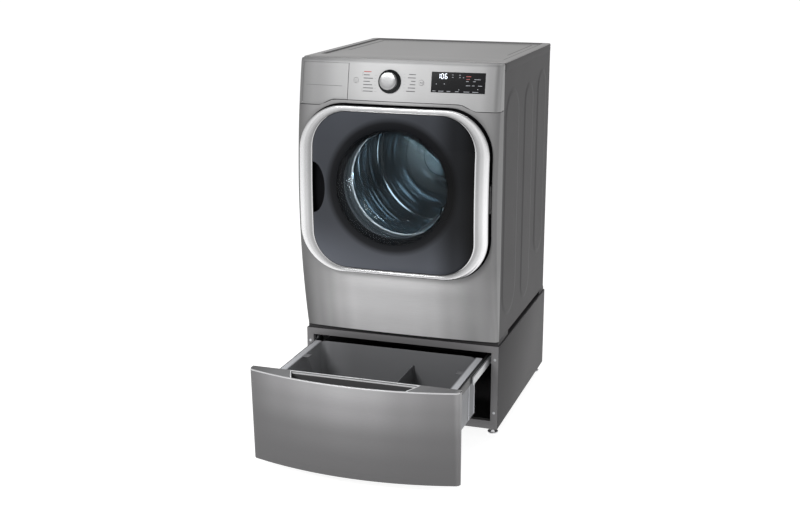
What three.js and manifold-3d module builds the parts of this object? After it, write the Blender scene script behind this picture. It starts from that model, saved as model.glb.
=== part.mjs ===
// Front-loading washing machine on its drawer pedestal.
// Millimetres, +Z up, front towards -Y, right-hand side (seen from the front) towards +X.
// Every piece is drawn in the machine frame, whose Y = 0 plane holds the top corners of the
// control fascia. The exported group moves that frame back so the origin is the middle of the
// footprint on the floor, with the pedestal drawer pulled out and the door closed.
import * as THREE from 'three';
import { mergeVertices } from 'three/addons/utils/BufferGeometryUtils.js';
import Module from 'manifold-3d';

const wasm = await Module();
wasm.setup();

// ---- driving dimensions -------------------------------------------------------------------
const WIDTH = 737;
const HALF = WIDTH / 2;
const MACHINE_Z0 = 369;
const MACHINE_Z1 = 1364;
const CABINET_BACK = 778;
const SHEET = 1;
const GAP = 0.5;

const BULGE = 56;
const BULGE_Z = 900;
const BULGE_SPAN = 480;
const PLAN_BOW = 14;
const CORNER_R = 18;
const SKIN_BACK = 28;

const SEAM_LOW = 1203;
const SEAM_HIGH = 1225;
const FASCIA_TOP = 1361.5;
const LID_FRONT = 34.5;

const DOOR_Z = 908;
const DOOR_HALF_H = 300;
const DOOR_HALF_W = 347;
const DOOR_R = 158;
const GLASS_HALF_W = 297;
const GLASS_HALF_H = 281;
const GLASS_R = 127;
const DOOR_GAP = 5;
const RECESS = 12;
const DOOR_PROUD = 28;
const HINGE_X = 347;
const HINGE_Y = -66;
const LATCH_Z = 900;

const DRUM_Z = 930;
const DRUM_R = 285;
const DRUM_FRONT = 74;
const DRUM_BACK = 560;
const MOUTH_R = 205;
const TUB_R = 315;
const TUB_FRONT = 42;
const TUB_SPLIT = 210;
const TUB_BACK = 600;

const PED_HALF = 371;
const PED_Z0 = 34;
const PED_Z1 = 353;
const PED_FRONT = 14;
const PED_BACK = 793;
const OPENING_HALF = 345;
const OPENING_Z0 = 65;
const OPENING_Z1 = 328;

const DRAWER_HALF = 370;
const DRAWER_Z0 = 31;
const DRAWER_Z1 = 364;
const DRAWER_OPEN = 480;
const DRAWER_BACK = PED_FRONT - 1 - DRAWER_OPEN;
const DRAWER_APEX = -557;
const DRAWER_BOW = 58;
const DRAWER_LEAN = 16;
const DRAWER_CORNER = 8;
const DRAWER_SKIN = 1.4;
const POCKET_LIP = DRAWER_SKIN + 2;
const POCKET_FLOOR = 292;
const BIN_HALF = 299;
const BIN_BACK = -20;
const RIM_Z = 318;
const RAIL_LENGTH = 520;

const ORIGIN_Y = (DRAWER_APEX + PED_BACK) / 2;

// ---- looks --------------------------------------------------------------------------------
function look(color, roughness, metalness) {
  return { color, roughness, metalness };
}
const GRAPHITE = look(0x8f8f92, 0.4, 0.8);
const GRAPHITE_DARK = look(0x6a696c, 0.5, 0.6);
const SILVER = look(0xc4c4c7, 0.35, 0.7);
const CHROME = look(0xe6e6ea, 0.12, 1);
const GLASS = look(0x2a2d31, 0.05, 0.2);
const CLEAR = look(0x9fb0bb, 0.05, 0.1);
const BLACK = look(0x18181a, 0.5, 0);
const BIN_GREY = look(0x8a8b90, 0.6, 0);
const STAINLESS = look(0xb4b9bf, 0.25, 0.9);
const TUB_GREY = look(0x9a9da0, 0.6, 0);
const RUBBER = look(0x55585c, 0.8, 0);
const ZINC = look(0xa2a5a8, 0.45, 0.8);
const IRON = look(0x55534f, 0.7, 0.4);
const BOARD_GREEN = look(0x1f5a3a, 0.6, 0);
const COPPER = look(0x9c5a33, 0.4, 0.7);
const IVORY = look(0xd9d8d2, 0.6, 0);

// ---- solid helpers ------------------------------------------------------------------------
function solid(geometry) {
  const bare = geometry.index ? geometry.toNonIndexed() : geometry.clone();
  bare.deleteAttribute('normal');
  bare.deleteAttribute('uv');
  const merged = mergeVertices(bare, 1e-3);
  const place = merged.attributes.position;
  const corners = merged.index.array;
  const kept = [];
  let volume = 0;
  const a = new THREE.Vector3();
  const b = new THREE.Vector3();
  const c = new THREE.Vector3();
  for (let i = 0; i < corners.length; i += 3) {
    const [p, q, r] = [corners[i], corners[i + 1], corners[i + 2]];
    if (p === q || q === r || r === p) continue;
    kept.push(p, q, r);
    a.fromBufferAttribute(place, p);
    b.fromBufferAttribute(place, q);
    c.fromBufferAttribute(place, r);
    volume += a.dot(b.cross(c));
  }
  if (volume < 0) kept.reverse();
  const vertProperties = new Float32Array(place.array);
  return new wasm.Manifold(new wasm.Mesh({ numProp: 3, vertProperties, triVerts: new Uint32Array(kept) }));
}

function join(...shapes) {
  return shapes.reduce((whole, next) => whole.add(next));
}

function cut(shape, ...tools) {
  return tools.reduce((left, tool) => left.subtract(tool), shape);
}

function box(x0, x1, y0, y1, z0, z1) {
  const geometry = new THREE.BoxGeometry(x1 - x0, y1 - y0, z1 - z0);
  geometry.translate((x0 + x1) / 2, (y0 + y1) / 2, (z0 + z1) / 2);
  return solid(geometry);
}

// A box on one side of the machine: near and far are its distances from the middle plane.
function sideBox(side, near, far, y0, y1, z0, z1) {
  return side < 0 ? box(-far, -near, y0, y1, z0, z1) : box(near, far, y0, y1, z0, z1);
}

function outline(points) {
  return new THREE.Shape(points.map(([u, v]) => new THREE.Vector2(u, v)));
}

function rounded(u0, u1, v0, v1, r) {
  const shape = new THREE.Shape();
  shape.absarc(u1 - r, v1 - r, r, 0, Math.PI / 2);
  shape.absarc(u0 + r, v1 - r, r, Math.PI / 2, Math.PI);
  shape.absarc(u0 + r, v0 + r, r, Math.PI, 1.5 * Math.PI);
  shape.absarc(u1 - r, v0 + r, r, 1.5 * Math.PI, 2 * Math.PI);
  return shape;
}

// An upright slot shape with half-round ends.
function stadium(u0, u1, v0, v1) {
  const r = (u1 - u0) / 2;
  const shape = new THREE.Shape();
  shape.absarc(u0 + r, v1 - r, r, 0, Math.PI);
  shape.absarc(u0 + r, v0 + r, r, Math.PI, 2 * Math.PI);
  return shape;
}

function disc(u, v, r) {
  const shape = new THREE.Shape();
  shape.absarc(u, v, r, 0, 2 * Math.PI);
  return shape;
}

// A shape drawn in X and Z, from y0 back to y1.
function prismY(shape, y0, y1, curveSegments = 6) {
  const geometry = new THREE.ExtrudeGeometry(shape, { depth: y1 - y0, bevelEnabled: false, curveSegments });
  geometry.rotateX(Math.PI / 2);
  geometry.translate(0, y1, 0);
  return solid(geometry);
}

// A shape drawn in X and Y, from z0 up to z1.
function prismZ(shape, z0, z1, curveSegments = 6) {
  const geometry = new THREE.ExtrudeGeometry(shape, { depth: z1 - z0, bevelEnabled: false, curveSegments });
  geometry.translate(0, 0, z0);
  return solid(geometry);
}

// A shape drawn in Y and Z, from x0 across to x1.
function prismX(shape, x0, x1, curveSegments = 6) {
  const geometry = new THREE.ExtrudeGeometry(shape, { depth: x1 - x0, bevelEnabled: false, curveSegments });
  const turn = new THREE.Matrix4().makeBasis(
    new THREE.Vector3(0, 1, 0),
    new THREE.Vector3(0, 0, 1),
    new THREE.Vector3(1, 0, 0),
  );
  geometry.applyMatrix4(turn);
  geometry.translate(x0, 0, 0);
  return solid(geometry);
}

// A profile of [radius, y] points turned about the Y direction through (x, z).
function turnedY(points, sides, x, z) {
  const profile = points.map(([r, y]) => new THREE.Vector2(r, y));
  const geometry = new THREE.LatheGeometry(profile, sides);
  geometry.translate(x, 0, z);
  return solid(geometry);
}

// A profile of [radius, z] points turned about the Z direction through (x, y).
function turnedZ(points, sides, x, y) {
  const profile = points.map(([r, z]) => new THREE.Vector2(r, z));
  const geometry = new THREE.LatheGeometry(profile, sides);
  geometry.rotateX(Math.PI / 2);
  geometry.translate(x, y, 0);
  return solid(geometry);
}

function rodY(r, y0, y1, x, z, sides = 16) {
  return turnedY([[0, y0], [r, y0], [r, y1], [0, y1]], sides, x, z);
}

function rodZ(r, z0, z1, x, y, sides = 16) {
  return turnedZ([[0, z0], [r, z0], [r, z1], [0, z1]], sides, x, y);
}

function tubeY(r0, r1, y0, y1, x, z, sides = 24) {
  return turnedY([[r0, y0], [r1, y0], [r1, y1], [r0, y1], [r0, y0]], sides, x, z);
}

function part(name, shape, { color, roughness, metalness }) {
  const data = shape.getMesh();
  const geometry = new THREE.BufferGeometry();
  geometry.setAttribute('position', new THREE.BufferAttribute(data.vertProperties, 3));
  geometry.setIndex(new THREE.BufferAttribute(data.triVerts, 1));
  geometry.computeVertexNormals();
  const mesh = new THREE.Mesh(geometry, new THREE.MeshStandardMaterial({ color, roughness, metalness }));
  mesh.name = name;
  return mesh;
}

function group(...children) {
  const holder = new THREE.Group();
  holder.add(...children);
  return holder;
}

// ---- the curved front ---------------------------------------------------------------------
function bulgeAt(z) {
  return -BULGE * (1 - ((z - BULGE_Z) / BULGE_SPAN) ** 2);
}

// Y of the machine's front skin, pushed back by inset; a negative inset stands proud of it.
function frontY(x, z, inset) {
  const radius = Math.max(CORNER_R - inset, 1);
  const over = Math.max(Math.abs(x) - (HALF - inset - radius), 0);
  const corner = radius - Math.sqrt(Math.max(radius * radius - over * over, 0));
  return bulgeAt(z) - PLAN_BOW * (1 - (x / HALF) ** 2) + corner + inset;
}

// Column positions across a bowed front: even steps, then the quarter round of each corner.
function columns(half, radius, steps, cornerSteps) {
  const flat = half - radius;
  const xs = [];
  for (let i = 0; i <= steps; i += 1) xs.push(-flat + (2 * flat * i) / steps);
  for (let i = 1; i <= cornerSteps; i += 1) {
    const reach = flat + radius * Math.sin((i / cornerSteps) * (Math.PI / 2));
    xs.push(reach);
    xs.unshift(-reach);
  }
  return xs;
}

// A block whose front face is the surface y = face(x, z) and whose back face is flat at back.
function bowedBlock(xs, z0, z1, rows, back, face) {
  const count = xs.length - 1;
  const geometry = new THREE.BoxGeometry(1, 1, 1, count, 1, rows);
  const place = geometry.attributes.position;
  for (let i = 0; i < place.count; i += 1) {
    const x = xs[Math.round((place.getX(i) + 0.5) * count)];
    const z = z0 + (place.getZ(i) + 0.5) * (z1 - z0);
    const y = place.getY(i) < 0 ? face(x, z) : back;
    place.setXYZ(i, x, y, z);
  }
  return solid(geometry);
}

// The machine's front as a block, from its skin (pushed back by inset) to a flat back.
function frontBlock(inset, back, z0 = MACHINE_Z0, z1 = FASCIA_TOP) {
  const radius = Math.max(CORNER_R - inset, 1);
  const xs = columns(HALF - inset, radius, 6, 2);
  const rows = Math.max(2, Math.round((z1 - z0) / 125));
  return bowedBlock(xs, z0, z1, rows, back, (x, z) => frontY(x, z, inset));
}

// A layer that follows the skin between two offsets, inside an outline drawn in X and Z.
function layer(shape, nearInset, farInset, curveSegments = 4) {
  const z0 = DOOR_Z - DOOR_HALF_H - 20;
  const z1 = DOOR_Z + DOOR_HALF_H + 20;
  const near = frontBlock(nearInset, 60, z0, z1);
  const far = frontBlock(farInset, 80, z0 - 1, z1 + 1);
  return near.intersect(prismY(shape, -150, 55, curveSegments)).subtract(far);
}

function doorOutline(grow) {
  const [w, h] = [DOOR_HALF_W + grow, DOOR_HALF_H + grow];
  return rounded(-w, w, DOOR_Z - h, DOOR_Z + h, DOOR_R + grow);
}

function glassOutline(grow) {
  const [w, h] = [GLASS_HALF_W + grow, GLASS_HALF_H + grow];
  return rounded(-w, w, DOOR_Z - h, DOOR_Z + h, GLASS_R + grow);
}

// The seam under the fascia, low at the sides and raised over the door. shift moves it up.
function aboveSeam(shift) {
  const shape = new THREE.Shape();
  shape.moveTo(-HALF - 5, SEAM_LOW + shift);
  shape.lineTo(-290, SEAM_LOW + shift);
  shape.bezierCurveTo(-262, SEAM_LOW + shift, -258, SEAM_HIGH + shift, -226, SEAM_HIGH + shift);
  shape.lineTo(226, SEAM_HIGH + shift);
  shape.bezierCurveTo(258, SEAM_HIGH + shift, 262, SEAM_LOW + shift, 290, SEAM_LOW + shift);
  shape.lineTo(HALF + 5, SEAM_LOW + shift);
  shape.lineTo(HALF + 5, MACHINE_Z1 + 40);
  shape.lineTo(-HALF - 5, MACHINE_Z1 + 40);
  return prismY(shape, -150, 60, 5);
}

// ---- cabinet ------------------------------------------------------------------------------
function frontPanel() {
  const core = frontBlock(SHEET, SKIN_BACK + 5, MACHINE_Z0 - 1, FASCIA_TOP + 1);
  const shell = cut(frontBlock(0, SKIN_BACK), core);
  const opened = cut(shell, prismY(doorOutline(DOOR_GAP), -150, 20, 4));
  const floor = layer(doorOutline(DOOR_GAP + 2), RECESS, RECESS + SHEET);
  const wall = layer(doorOutline(DOOR_GAP + 2), 0.4, RECESS + SHEET);
  const recess = join(floor, cut(wall, prismY(doorOutline(DOOR_GAP), -150, 60, 4)));
  const hole = rodY(MOUTH_R, -120, 40, 0, DRUM_Z, 28);
  const latchSlot = box(-337, -316, -120, 30, LATCH_Z - 16, LATCH_Z + 16);
  return cut(join(opened, recess), hole, latchSlot, aboveSeam(-1.2));
}

const DISPLAY = { x0: 125, x1: 314, z0: 1263, z1: 1332 };
const DIAL = { x: -24, z: 1293 };
const BUTTON_R = 9;
const POWER_X = -148;
const START_X = 90;
const FASCIA_TILT = Math.atan((2 * BULGE * (DIAL.z - BULGE_Z)) / BULGE_SPAN ** 2);
const DISPENSER = { x0: -352, x1: -177, z0: SEAM_LOW + 1, z1: 1350 };

function fasciaSide() {
  const shape = new THREE.Shape();
  shape.moveTo(LID_FRONT - GAP, SEAM_LOW - 30);
  shape.lineTo(LID_FRONT - GAP, FASCIA_TOP);
  shape.lineTo(10, FASCIA_TOP);
  shape.absellipse(10, FASCIA_TOP - 20, 34, 20, Math.PI / 2, Math.PI);
  shape.lineTo(-24, FASCIA_TOP - 30);
  shape.lineTo(-60, SEAM_LOW - 30);
  return prismX(shape, -HALF - 5, HALF + 5, 5);
}

// A short bore square to the sloping fascia, at (x, z).
function tiltedRod(radius, x, z, front, back, sides = 20) {
  const geometry = new THREE.CylinderGeometry(radius, radius, back - front, sides);
  geometry.translate(0, (front + back) / 2, 0);
  geometry.rotateX(-FASCIA_TILT);
  geometry.translate(x, frontY(x, z, 0), z);
  return solid(geometry);
}

function controlFascia() {
  const outer = frontBlock(0, LID_FRONT - GAP, SEAM_LOW - 20, FASCIA_TOP).intersect(fasciaSide());
  const inner = frontBlock(SHEET, LID_FRONT + 5, SEAM_LOW - 25, FASCIA_TOP - 4 * SHEET);
  const sideNotch = [-1, 1].map(
    (side) => sideBox(side, HALF - 60, HALF + 5, SKIN_BACK, 60, SEAM_LOW - 40, MACHINE_Z1 - 31),
  );
  const shell = cut(outer, inner, ...sideNotch).intersect(aboveSeam(0));
  const windowHole = box(DISPLAY.x0, DISPLAY.x1, -90, 5, DISPLAY.z0, DISPLAY.z1);
  const drawerHole = box(DISPENSER.x0, DISPENSER.x1, -90, 15, SEAM_LOW - 30, DISPENSER.z1);
  return cut(
    shell,
    windowHole,
    drawerHole,
    tiltedRod(5, DIAL.x, DIAL.z, -20, 20),
    tiltedRod(BUTTON_R + 0.5, POWER_X, DIAL.z, -20, 20),
    tiltedRod(BUTTON_R + 0.5, START_X, DIAL.z, -20, 20),
  );
}

function displayWindow() {
  const hole = box(DISPLAY.x0 + GAP, DISPLAY.x1 - GAP, -90, 5, DISPLAY.z0 + GAP, DISPLAY.z1 - GAP);
  const core = frontBlock(SHEET, 12, SEAM_LOW - 4, FASCIA_TOP + 1);
  return cut(frontBlock(-0.4, 10, SEAM_LOW - 3, FASCIA_TOP), core).intersect(hole);
}

function controlBoard() {
  const board = box(-180, 335, 4, 6, 1248, 1338);
  const display = box(130, 310, -8, 4.5, 1264, 1330);
  const relays = [-150, -100, 40].map((x) => box(x, x + 28, 5.5, 22, 1300, 1322));
  return join(board, display, ...relays);
}

// The knob, drawn along its own axis: skirt against the fascia, cap at the front.
function dialKnob() {
  return turnedY([
    [0, 24], [3.6, 24], [3.6, -1], [41, -1], [41, -5], [38, -8], [31, -9], [30, -23], [28, -25], [0, -25],
  ], 24, 0, 0);
}

function pushButton() {
  return turnedY([[0, 8], [4, 8], [4, 3], [BUTTON_R, 3], [BUTTON_R, -1.2], [0, -1.2]], 16, 0, 0);
}

function onFascia(mesh, x) {
  mesh.position.set(x, frontY(x, DIAL.z, 0), DIAL.z);
  mesh.rotation.x = -FASCIA_TILT;
  return mesh;
}

function sidePads(side) {
  const pads = [[56, 262, 437, 1262], [348, 490, 426, 1253], [560, 712, 552, 1278]];
  return pads.map(([y0, y1, z0, z1]) => {
    const face = stadium(y0, y1, z0, z1);
    return side < 0 ? prismX(face, -HALF - 1.2, -HALF + 1, 4) : prismX(face, HALF - 1, HALF + 1.2, 4);
  });
}

const REAR_OPENING = { half: 262, z0: 470, z1: 1250 };

function cabinetShell() {
  const top = MACHINE_Z1 - 31;
  const outer = box(-HALF, HALF, SKIN_BACK + GAP, CABINET_BACK - 2, MACHINE_Z0, top);
  const inner = box(-HALF + SHEET, HALF - SHEET, 0, CABINET_BACK - 2 - SHEET, MACHINE_Z0 - 5, top + 5);
  const { half, z0, z1 } = REAR_OPENING;
  const rearHole = box(-half, half, 700, 800, z0, z1);
  const shelves = [-1, 1].map(
    (side) => sideBox(side, 288, HALF - 1, SPRING_Y - 24, SPRING_Y + 24, SPRING_Z1 + GAP, SPRING_Z1 + 4),
  );
  const valveHole = box(-322, -198, 700, 800, 1262, 1318);
  return join(cut(outer, inner, rearHole, valveHole), ...shelves, ...sidePads(-1), ...sidePads(1));
}

function rearCover() {
  const { half, z0, z1 } = REAR_OPENING;
  const plate = box(-half - 12, half + 12, CABINET_BACK - SHEET, CABINET_BACK, z0 - 12, z1 + 12);
  const dome = cut(rodY(190, CABINET_BACK - 1, CABINET_BACK + 9, 0, DRUM_Z, 24),
    rodY(186, CABINET_BACK - 20, CABINET_BACK + 6.5, 0, DRUM_Z, 24));
  const drainOutlet = rodY(17, CABINET_BACK, CABINET_BACK + 14, -205, 520);
  const cordGland = rodY(12, CABINET_BACK, CABINET_BACK + 12, 205, 1200);
  return join(cut(plate, rodY(186, 700, 800, 0, DRUM_Z, 24)), dome, drainOutlet, cordGland);
}

function basePan() {
  const tray = cut(
    box(-HALF + 4, HALF - 4, SKIN_BACK + 4, CABINET_BACK - 6, MACHINE_Z0 + 0.3, MACHINE_Z0 + 22),
    box(-HALF + 5.2, HALF - 5.2, SKIN_BACK + 5.2, CABINET_BACK - 7.2, MACHINE_Z0 + 1.5, MACHINE_Z0 + 30),
  );
  const ribs = [-120, 120].map(
    (x) => box(x - 8, x + 8, SKIN_BACK + 5, CABINET_BACK - 7, MACHINE_Z0 + 1, MACHINE_Z0 + 10),
  );
  return join(tray, ...ribs);
}

// A flared tray shape: wide and long at the top, drawn in by the slope of its walls below.
function dish(grow, z0, z1) {
  const tray = new THREE.BoxGeometry(1, 1, 1);
  const place = tray.attributes.position;
  for (let i = 0; i < place.count; i += 1) {
    const low = place.getZ(i) < 0;
    const x = (place.getX(i) < 0 ? -1 : 1) * ((low ? 310 : 340) + grow);
    const front = (low ? 300 : 130) - grow;
    const back = (low ? 742 : 760) + grow;
    place.setXYZ(i, x, place.getY(i) < 0 ? front : back, low ? z0 : z1);
  }
  return solid(tray);
}

// The lid: flat plate with turned-down sides and a shallow dished field whose walls slope.
function lid() {
  const top = MACHINE_Z1;
  const plate = cut(
    box(-HALF - 1.5, HALF + 1.5, LID_FRONT, CABINET_BACK, top - 30, top),
    box(-HALF + 0.2, HALF - 0.2, LID_FRONT - 5, CABINET_BACK - SHEET, top - 35, top - SHEET),
  );
  return cut(join(plate, dish(3, top - 5 - SHEET, top - 0.2)), dish(0, top - 5, top + 0.5));
}

// ---- door ---------------------------------------------------------------------------------
const GRIP = { z: 915, halfHeight: 92, depth: 48 };
const BOWL_R = 184;

function gripOutline(grow) {
  const shape = new THREE.Shape();
  const [h, d] = [GRIP.halfHeight + grow, GRIP.depth + grow];
  shape.moveTo(-GLASS_HALF_W - 2, GRIP.z - h);
  shape.absellipse(-GLASS_HALF_W, GRIP.z, d, h, -Math.PI / 2, Math.PI / 2);
  shape.lineTo(-GLASS_HALF_W - 2, GRIP.z + h);
  return shape;
}

function hingeNotch() {
  return box(HINGE_X - 9, HINGE_X + 20, -79, 60, DOOR_Z - 55, DOOR_Z + 55);
}

function doorTrimRing() {
  const base = layer(doorOutline(0), -DOOR_PROUD + 9, -12);
  const crown = layer(doorOutline(-7), -DOOR_PROUD, -DOOR_PROUD + 9.5);
  const glassHole = prismY(glassOutline(0), -200, 40, 4);
  return cut(join(base, crown), glassHole, hingeNotch());
}

function doorOuterGlass() {
  const plate = layer(glassOutline(-1), -DOOR_PROUD + 2, -DOOR_PROUD + 7);
  return cut(plate, prismY(gripOutline(0), -200, 40, 5));
}

// The pan behind the glass: rear plate, rim, window wall and the cup behind the grip.
function doorInnerFrame() {
  const body = layer(doorOutline(-4), -11.6, 8);
  const hollow = layer(doorOutline(-8), -40, 4);
  const windowWall = layer(disc(0, DRUM_Z, BOWL_R + 8), -DOOR_PROUD + 7.4, 8, 14);
  const cupZone = box(-GLASS_HALF_W + 1, -240, -120, -40, GRIP.z - 100, GRIP.z + 100);
  const cupOuter = layer(gripOutline(3), -DOOR_PROUD + 7.4, 8, 5).intersect(cupZone);
  const cupInner = prismY(gripOutline(0), -150, frontY(-GLASS_HALF_W, GRIP.z, -1), 5);
  const pan = join(cut(body, hollow), windowWall, cupOuter);
  const seat = rodY(BOWL_R + 3, -150, -53, 0, DRUM_Z, 28);
  const bore = rodY(BOWL_R - 5, -150, 40, 0, DRUM_Z, 28);
  return cut(pan, cupInner, seat, bore, hingeNotch());
}

function doorBowlGlass() {
  return turnedY([
    [0, 60], [70, 58], [140, 50], [158, 20], [172, -53.6], [BOWL_R, -53.6], [BOWL_R, -60],
    [166, -60], [152, 18], [136, 44], [70, 53], [0, 55],
  ], 28, 0, DRUM_Z);
}

const KNUCKLE = { z0: DOOR_Z - 30, z1: DOOR_Z + 30, r: 5.2, pin: 2.6 };

function doorHingeBracket() {
  const [x0, x1, z0, z1] = [HINGE_X - 40, HINGE_X + 3, DOOR_Z - 50, DOOR_Z + 50];
  const plate = outline([[x0, z0], [x1, z0], [x1, z1], [x0, z1]]);
  const foot = layer(plate, 9, RECESS - 0.6);
  const lugs = [DOOR_Z - 48, KNUCKLE.z1 + 0.5].map((z) => join(
    rodZ(KNUCKLE.r, z, z + 17.5, HINGE_X, HINGE_Y, 12),
    box(HINGE_X - 2.5, HINGE_X + 2.5, HINGE_Y + 2, -46.8, z, z + 17.5),
  ));
  const pin = rodZ(KNUCKLE.pin, DOOR_Z - 47, DOOR_Z + 47, HINGE_X, HINGE_Y, 12);
  return join(foot, ...lugs, pin);
}

function doorHingeArm() {
  const knuckle = rodZ(KNUCKLE.r, KNUCKLE.z0, KNUCKLE.z1, HINGE_X, HINGE_Y, 12);
  const web = box(HINGE_X - 8.7, HINGE_X - 3.7, HINGE_Y - 1.8, HINGE_Y + 1.8, KNUCKLE.z0, KNUCKLE.z1);
  const leaf = box(HINGE_X - 8.7, HINGE_X - 6.5, HINGE_Y - 5, HINGE_Y + 5, KNUCKLE.z0 - 12, KNUCKLE.z1 + 12);
  const bore = rodZ(KNUCKLE.pin + 0.4, DOOR_Z - 60, DOOR_Z + 60, HINGE_X, HINGE_Y, 12);
  return cut(join(knuckle, web, leaf), bore);
}

function doorLatchHook() {
  const base = box(-332, -319, -49.1, -48, LATCH_Z - 14, LATCH_Z + 14);
  const arm = box(-328, -323, -49, -14, LATCH_Z - 6, LATCH_Z + 6);
  const barb = box(-331, -323, -18, -14, LATCH_Z - 6, LATCH_Z + 6);
  return join(base, arm, barb);
}

function doorLock() {
  const body = box(-348, -300, -40, -2, LATCH_Z - 48, LATCH_Z + 48);
  return cut(body, box(-336, -317, -60, -8, LATCH_Z - 12, LATCH_Z + 12));
}

// ---- detergent dispenser ------------------------------------------------------------------
function dispenserFront() {
  const { x0, x1, z0, z1 } = DISPENSER;
  const core = frontBlock(SHEET, 25, SEAM_LOW - 21, FASCIA_TOP + 1);
  const skin = cut(frontBlock(0, 20, SEAM_LOW - 20, FASCIA_TOP), core);
  return skin.intersect(box(x0 + GAP, x1 - GAP, -90, 10, z0 + GAP, z1 - GAP)).intersect(aboveSeam(1));
}

const TRAY = { x0: -340, x1: -190, y0: -20, y1: 215, z0: 1252, z1: 1336, wall: 2.2 };

function dispenserTray() {
  const { x0, x1, y0, y1, z0, z1, wall } = TRAY;
  const body = box(x0, x1, y0 - 60, y1, z0, z1).intersect(frontBlock(SHEET + GAP, 400, 1200, 1360));
  const rooms = [
    [x0 + wall, x0 + 94, y0 + 16, y1 - wall],
    [x0 + 94 + wall, x1 - wall, y0 + 16, 95],
    [x0 + 94 + wall, x1 - wall, 95 + wall, y1 - wall],
  ].map(([a, b, c, d]) => box(a, b, c, d, z0 + wall, z1 + 5));
  const underCut = box(x0 + 2 * wall, x1 - 2 * wall, y0 - 80, y0 + 12, z0 - 5, z1 - 2 * wall);
  return cut(body, underCut, ...rooms);
}

function dispenserHousing() {
  const { x0, x1, y1, z0, z1 } = TRAY;
  const outer = box(x0 - 5, x1 + 5, 20, y1 + 8, z0 - 5, z1 + 6);
  const inner = box(x0 - 2, x1 + 2, 10, y1 + 5, z0 - 2, z1 + 2.5);
  const spout = rodZ(16, z0 - 30, z0 - 4, (x0 + x1) / 2, 170, 12);
  return cut(join(cut(outer, inner), spout), rodZ(12, z0 - 40, z0, (x0 + x1) / 2, 170, 12));
}

// ---- tub, drum and drive ------------------------------------------------------------------
const SPRING_X = 318;
const SPRING_Y = 320;
const SPRING_Z0 = 1176;
const SPRING_Z1 = 1322;
const LUG_TOP = SPRING_Z0 - GAP;
const DAMPER_X = 230;
const DAMPER_Y = 320;
const DAMPER_TOP = 700;
const SHAFT_R = 12;
const SUMP_Y = 420;

function tubFront() {
  return turnedY([
    [198, TUB_FRONT], [300, TUB_FRONT], [TUB_R, TUB_FRONT + 16], [TUB_R, TUB_SPLIT], [TUB_R - 4, TUB_SPLIT],
    [TUB_R - 4, TUB_FRONT + 18], [298, TUB_FRONT + 4], [202, TUB_FRONT + 4], [202, TUB_FRONT + 14],
    [198, TUB_FRONT + 14], [198, TUB_FRONT],
  ], 32, 0, DRUM_Z);
}

function tubRear() {
  const shell = turnedY([
    [31, TUB_BACK - 6], [TUB_R - 4, TUB_BACK - 6], [TUB_R - 4, TUB_SPLIT + GAP], [TUB_R, TUB_SPLIT + GAP],
    [TUB_R, TUB_BACK], [31, TUB_BACK], [31, TUB_BACK - 6],
  ], 32, 0, DRUM_Z);
  const springLugs = [-1, 1].map(
    (side) => sideBox(side, 190, SPRING_X + 14, SPRING_Y - 15, SPRING_Y + 15, SPRING_Z0 - 10, LUG_TOP),
  );
  const damperLugs = [-1, 1].map(
    (side) => sideBox(side, DAMPER_X - 14, DAMPER_X + 14, DAMPER_Y - 14, DAMPER_Y + 14, DAMPER_TOP, 740),
  );
  const sumpSpout = rodZ(20, 602, 640, 0, SUMP_Y, 12);
  const inside = rodY(TUB_R - 2, TUB_SPLIT - 20, TUB_BACK - 6, 0, DRUM_Z, 32);
  const fittings = cut(join(...springLugs, ...damperLugs, sumpSpout), inside);
  return cut(join(shell, fittings), rodZ(15, 590, 700, 0, SUMP_Y, 12));
}

function drumShell() {
  const wall = 1.2;
  return turnedY([
    [208, DRUM_FRONT], [268, DRUM_FRONT], [DRUM_R, DRUM_FRONT + 18], [DRUM_R, DRUM_BACK], [40, DRUM_BACK],
    [40, DRUM_BACK - wall], [DRUM_R - wall, DRUM_BACK - wall], [DRUM_R - wall, DRUM_FRONT + 19],
    [267, DRUM_FRONT + wall], [212, DRUM_FRONT + wall], [212, DRUM_FRONT + 12], [208, DRUM_FRONT + 12],
    [208, DRUM_FRONT],
  ], 32, 0, DRUM_Z);
}

function drumSpider() {
  const arm = new THREE.BoxGeometry(46, 16, DRUM_R - 30);
  arm.translate(0, DRUM_BACK + 9, (DRUM_R - 30) / 2);
  const arms = [0, 1, 2].map((i) => {
    const turned = arm.clone();
    turned.rotateY((i * 2 * Math.PI) / 3);
    turned.translate(0, 0, DRUM_Z);
    return solid(turned);
  });
  const hub = rodY(38, DRUM_BACK - 6, DRUM_BACK + 24, 0, DRUM_Z, 20);
  const shaft = rodY(SHAFT_R, DRUM_BACK, 668, 0, DRUM_Z, 16);
  return join(...arms, hub, shaft);
}

// One lifter, drawn at the bottom of the drum about the drum's axis.
function drumLifter() {
  const section = outline([[-34, -278], [34, -278], [20, -240], [8, -230], [-8, -230], [-20, -240]]);
  const hollow = outline([[-31, -282], [31, -282], [16, -241], [-16, -241]]);
  const [y0, y1] = [DRUM_FRONT + 40, DRUM_BACK - 30];
  return cut(prismY(section, y0, y1), prismY(hollow, y0 + 3, y1 - 3));
}

function bearingCartridge() {
  return tubeY(SHAFT_R + 0.4, 30.5, TUB_BACK - 8, TUB_BACK + 36, 0, DRUM_Z, 20);
}

function motorStator() {
  return tubeY(34, 100, TUB_BACK + 1, TUB_BACK + 26, 0, DRUM_Z, 24);
}

function motorRotor() {
  return turnedY([
    [SHAFT_R + 0.4, TUB_BACK + 40], [SHAFT_R + 0.4, TUB_BACK + 62], [30, TUB_BACK + 62],
    [34, TUB_BACK + 46], [114, TUB_BACK + 46], [114, TUB_BACK + 4], [104, TUB_BACK + 4],
    [104, TUB_BACK + 40], [SHAFT_R + 0.4, TUB_BACK + 40],
  ], 24, 0, DRUM_Z);
}

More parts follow.
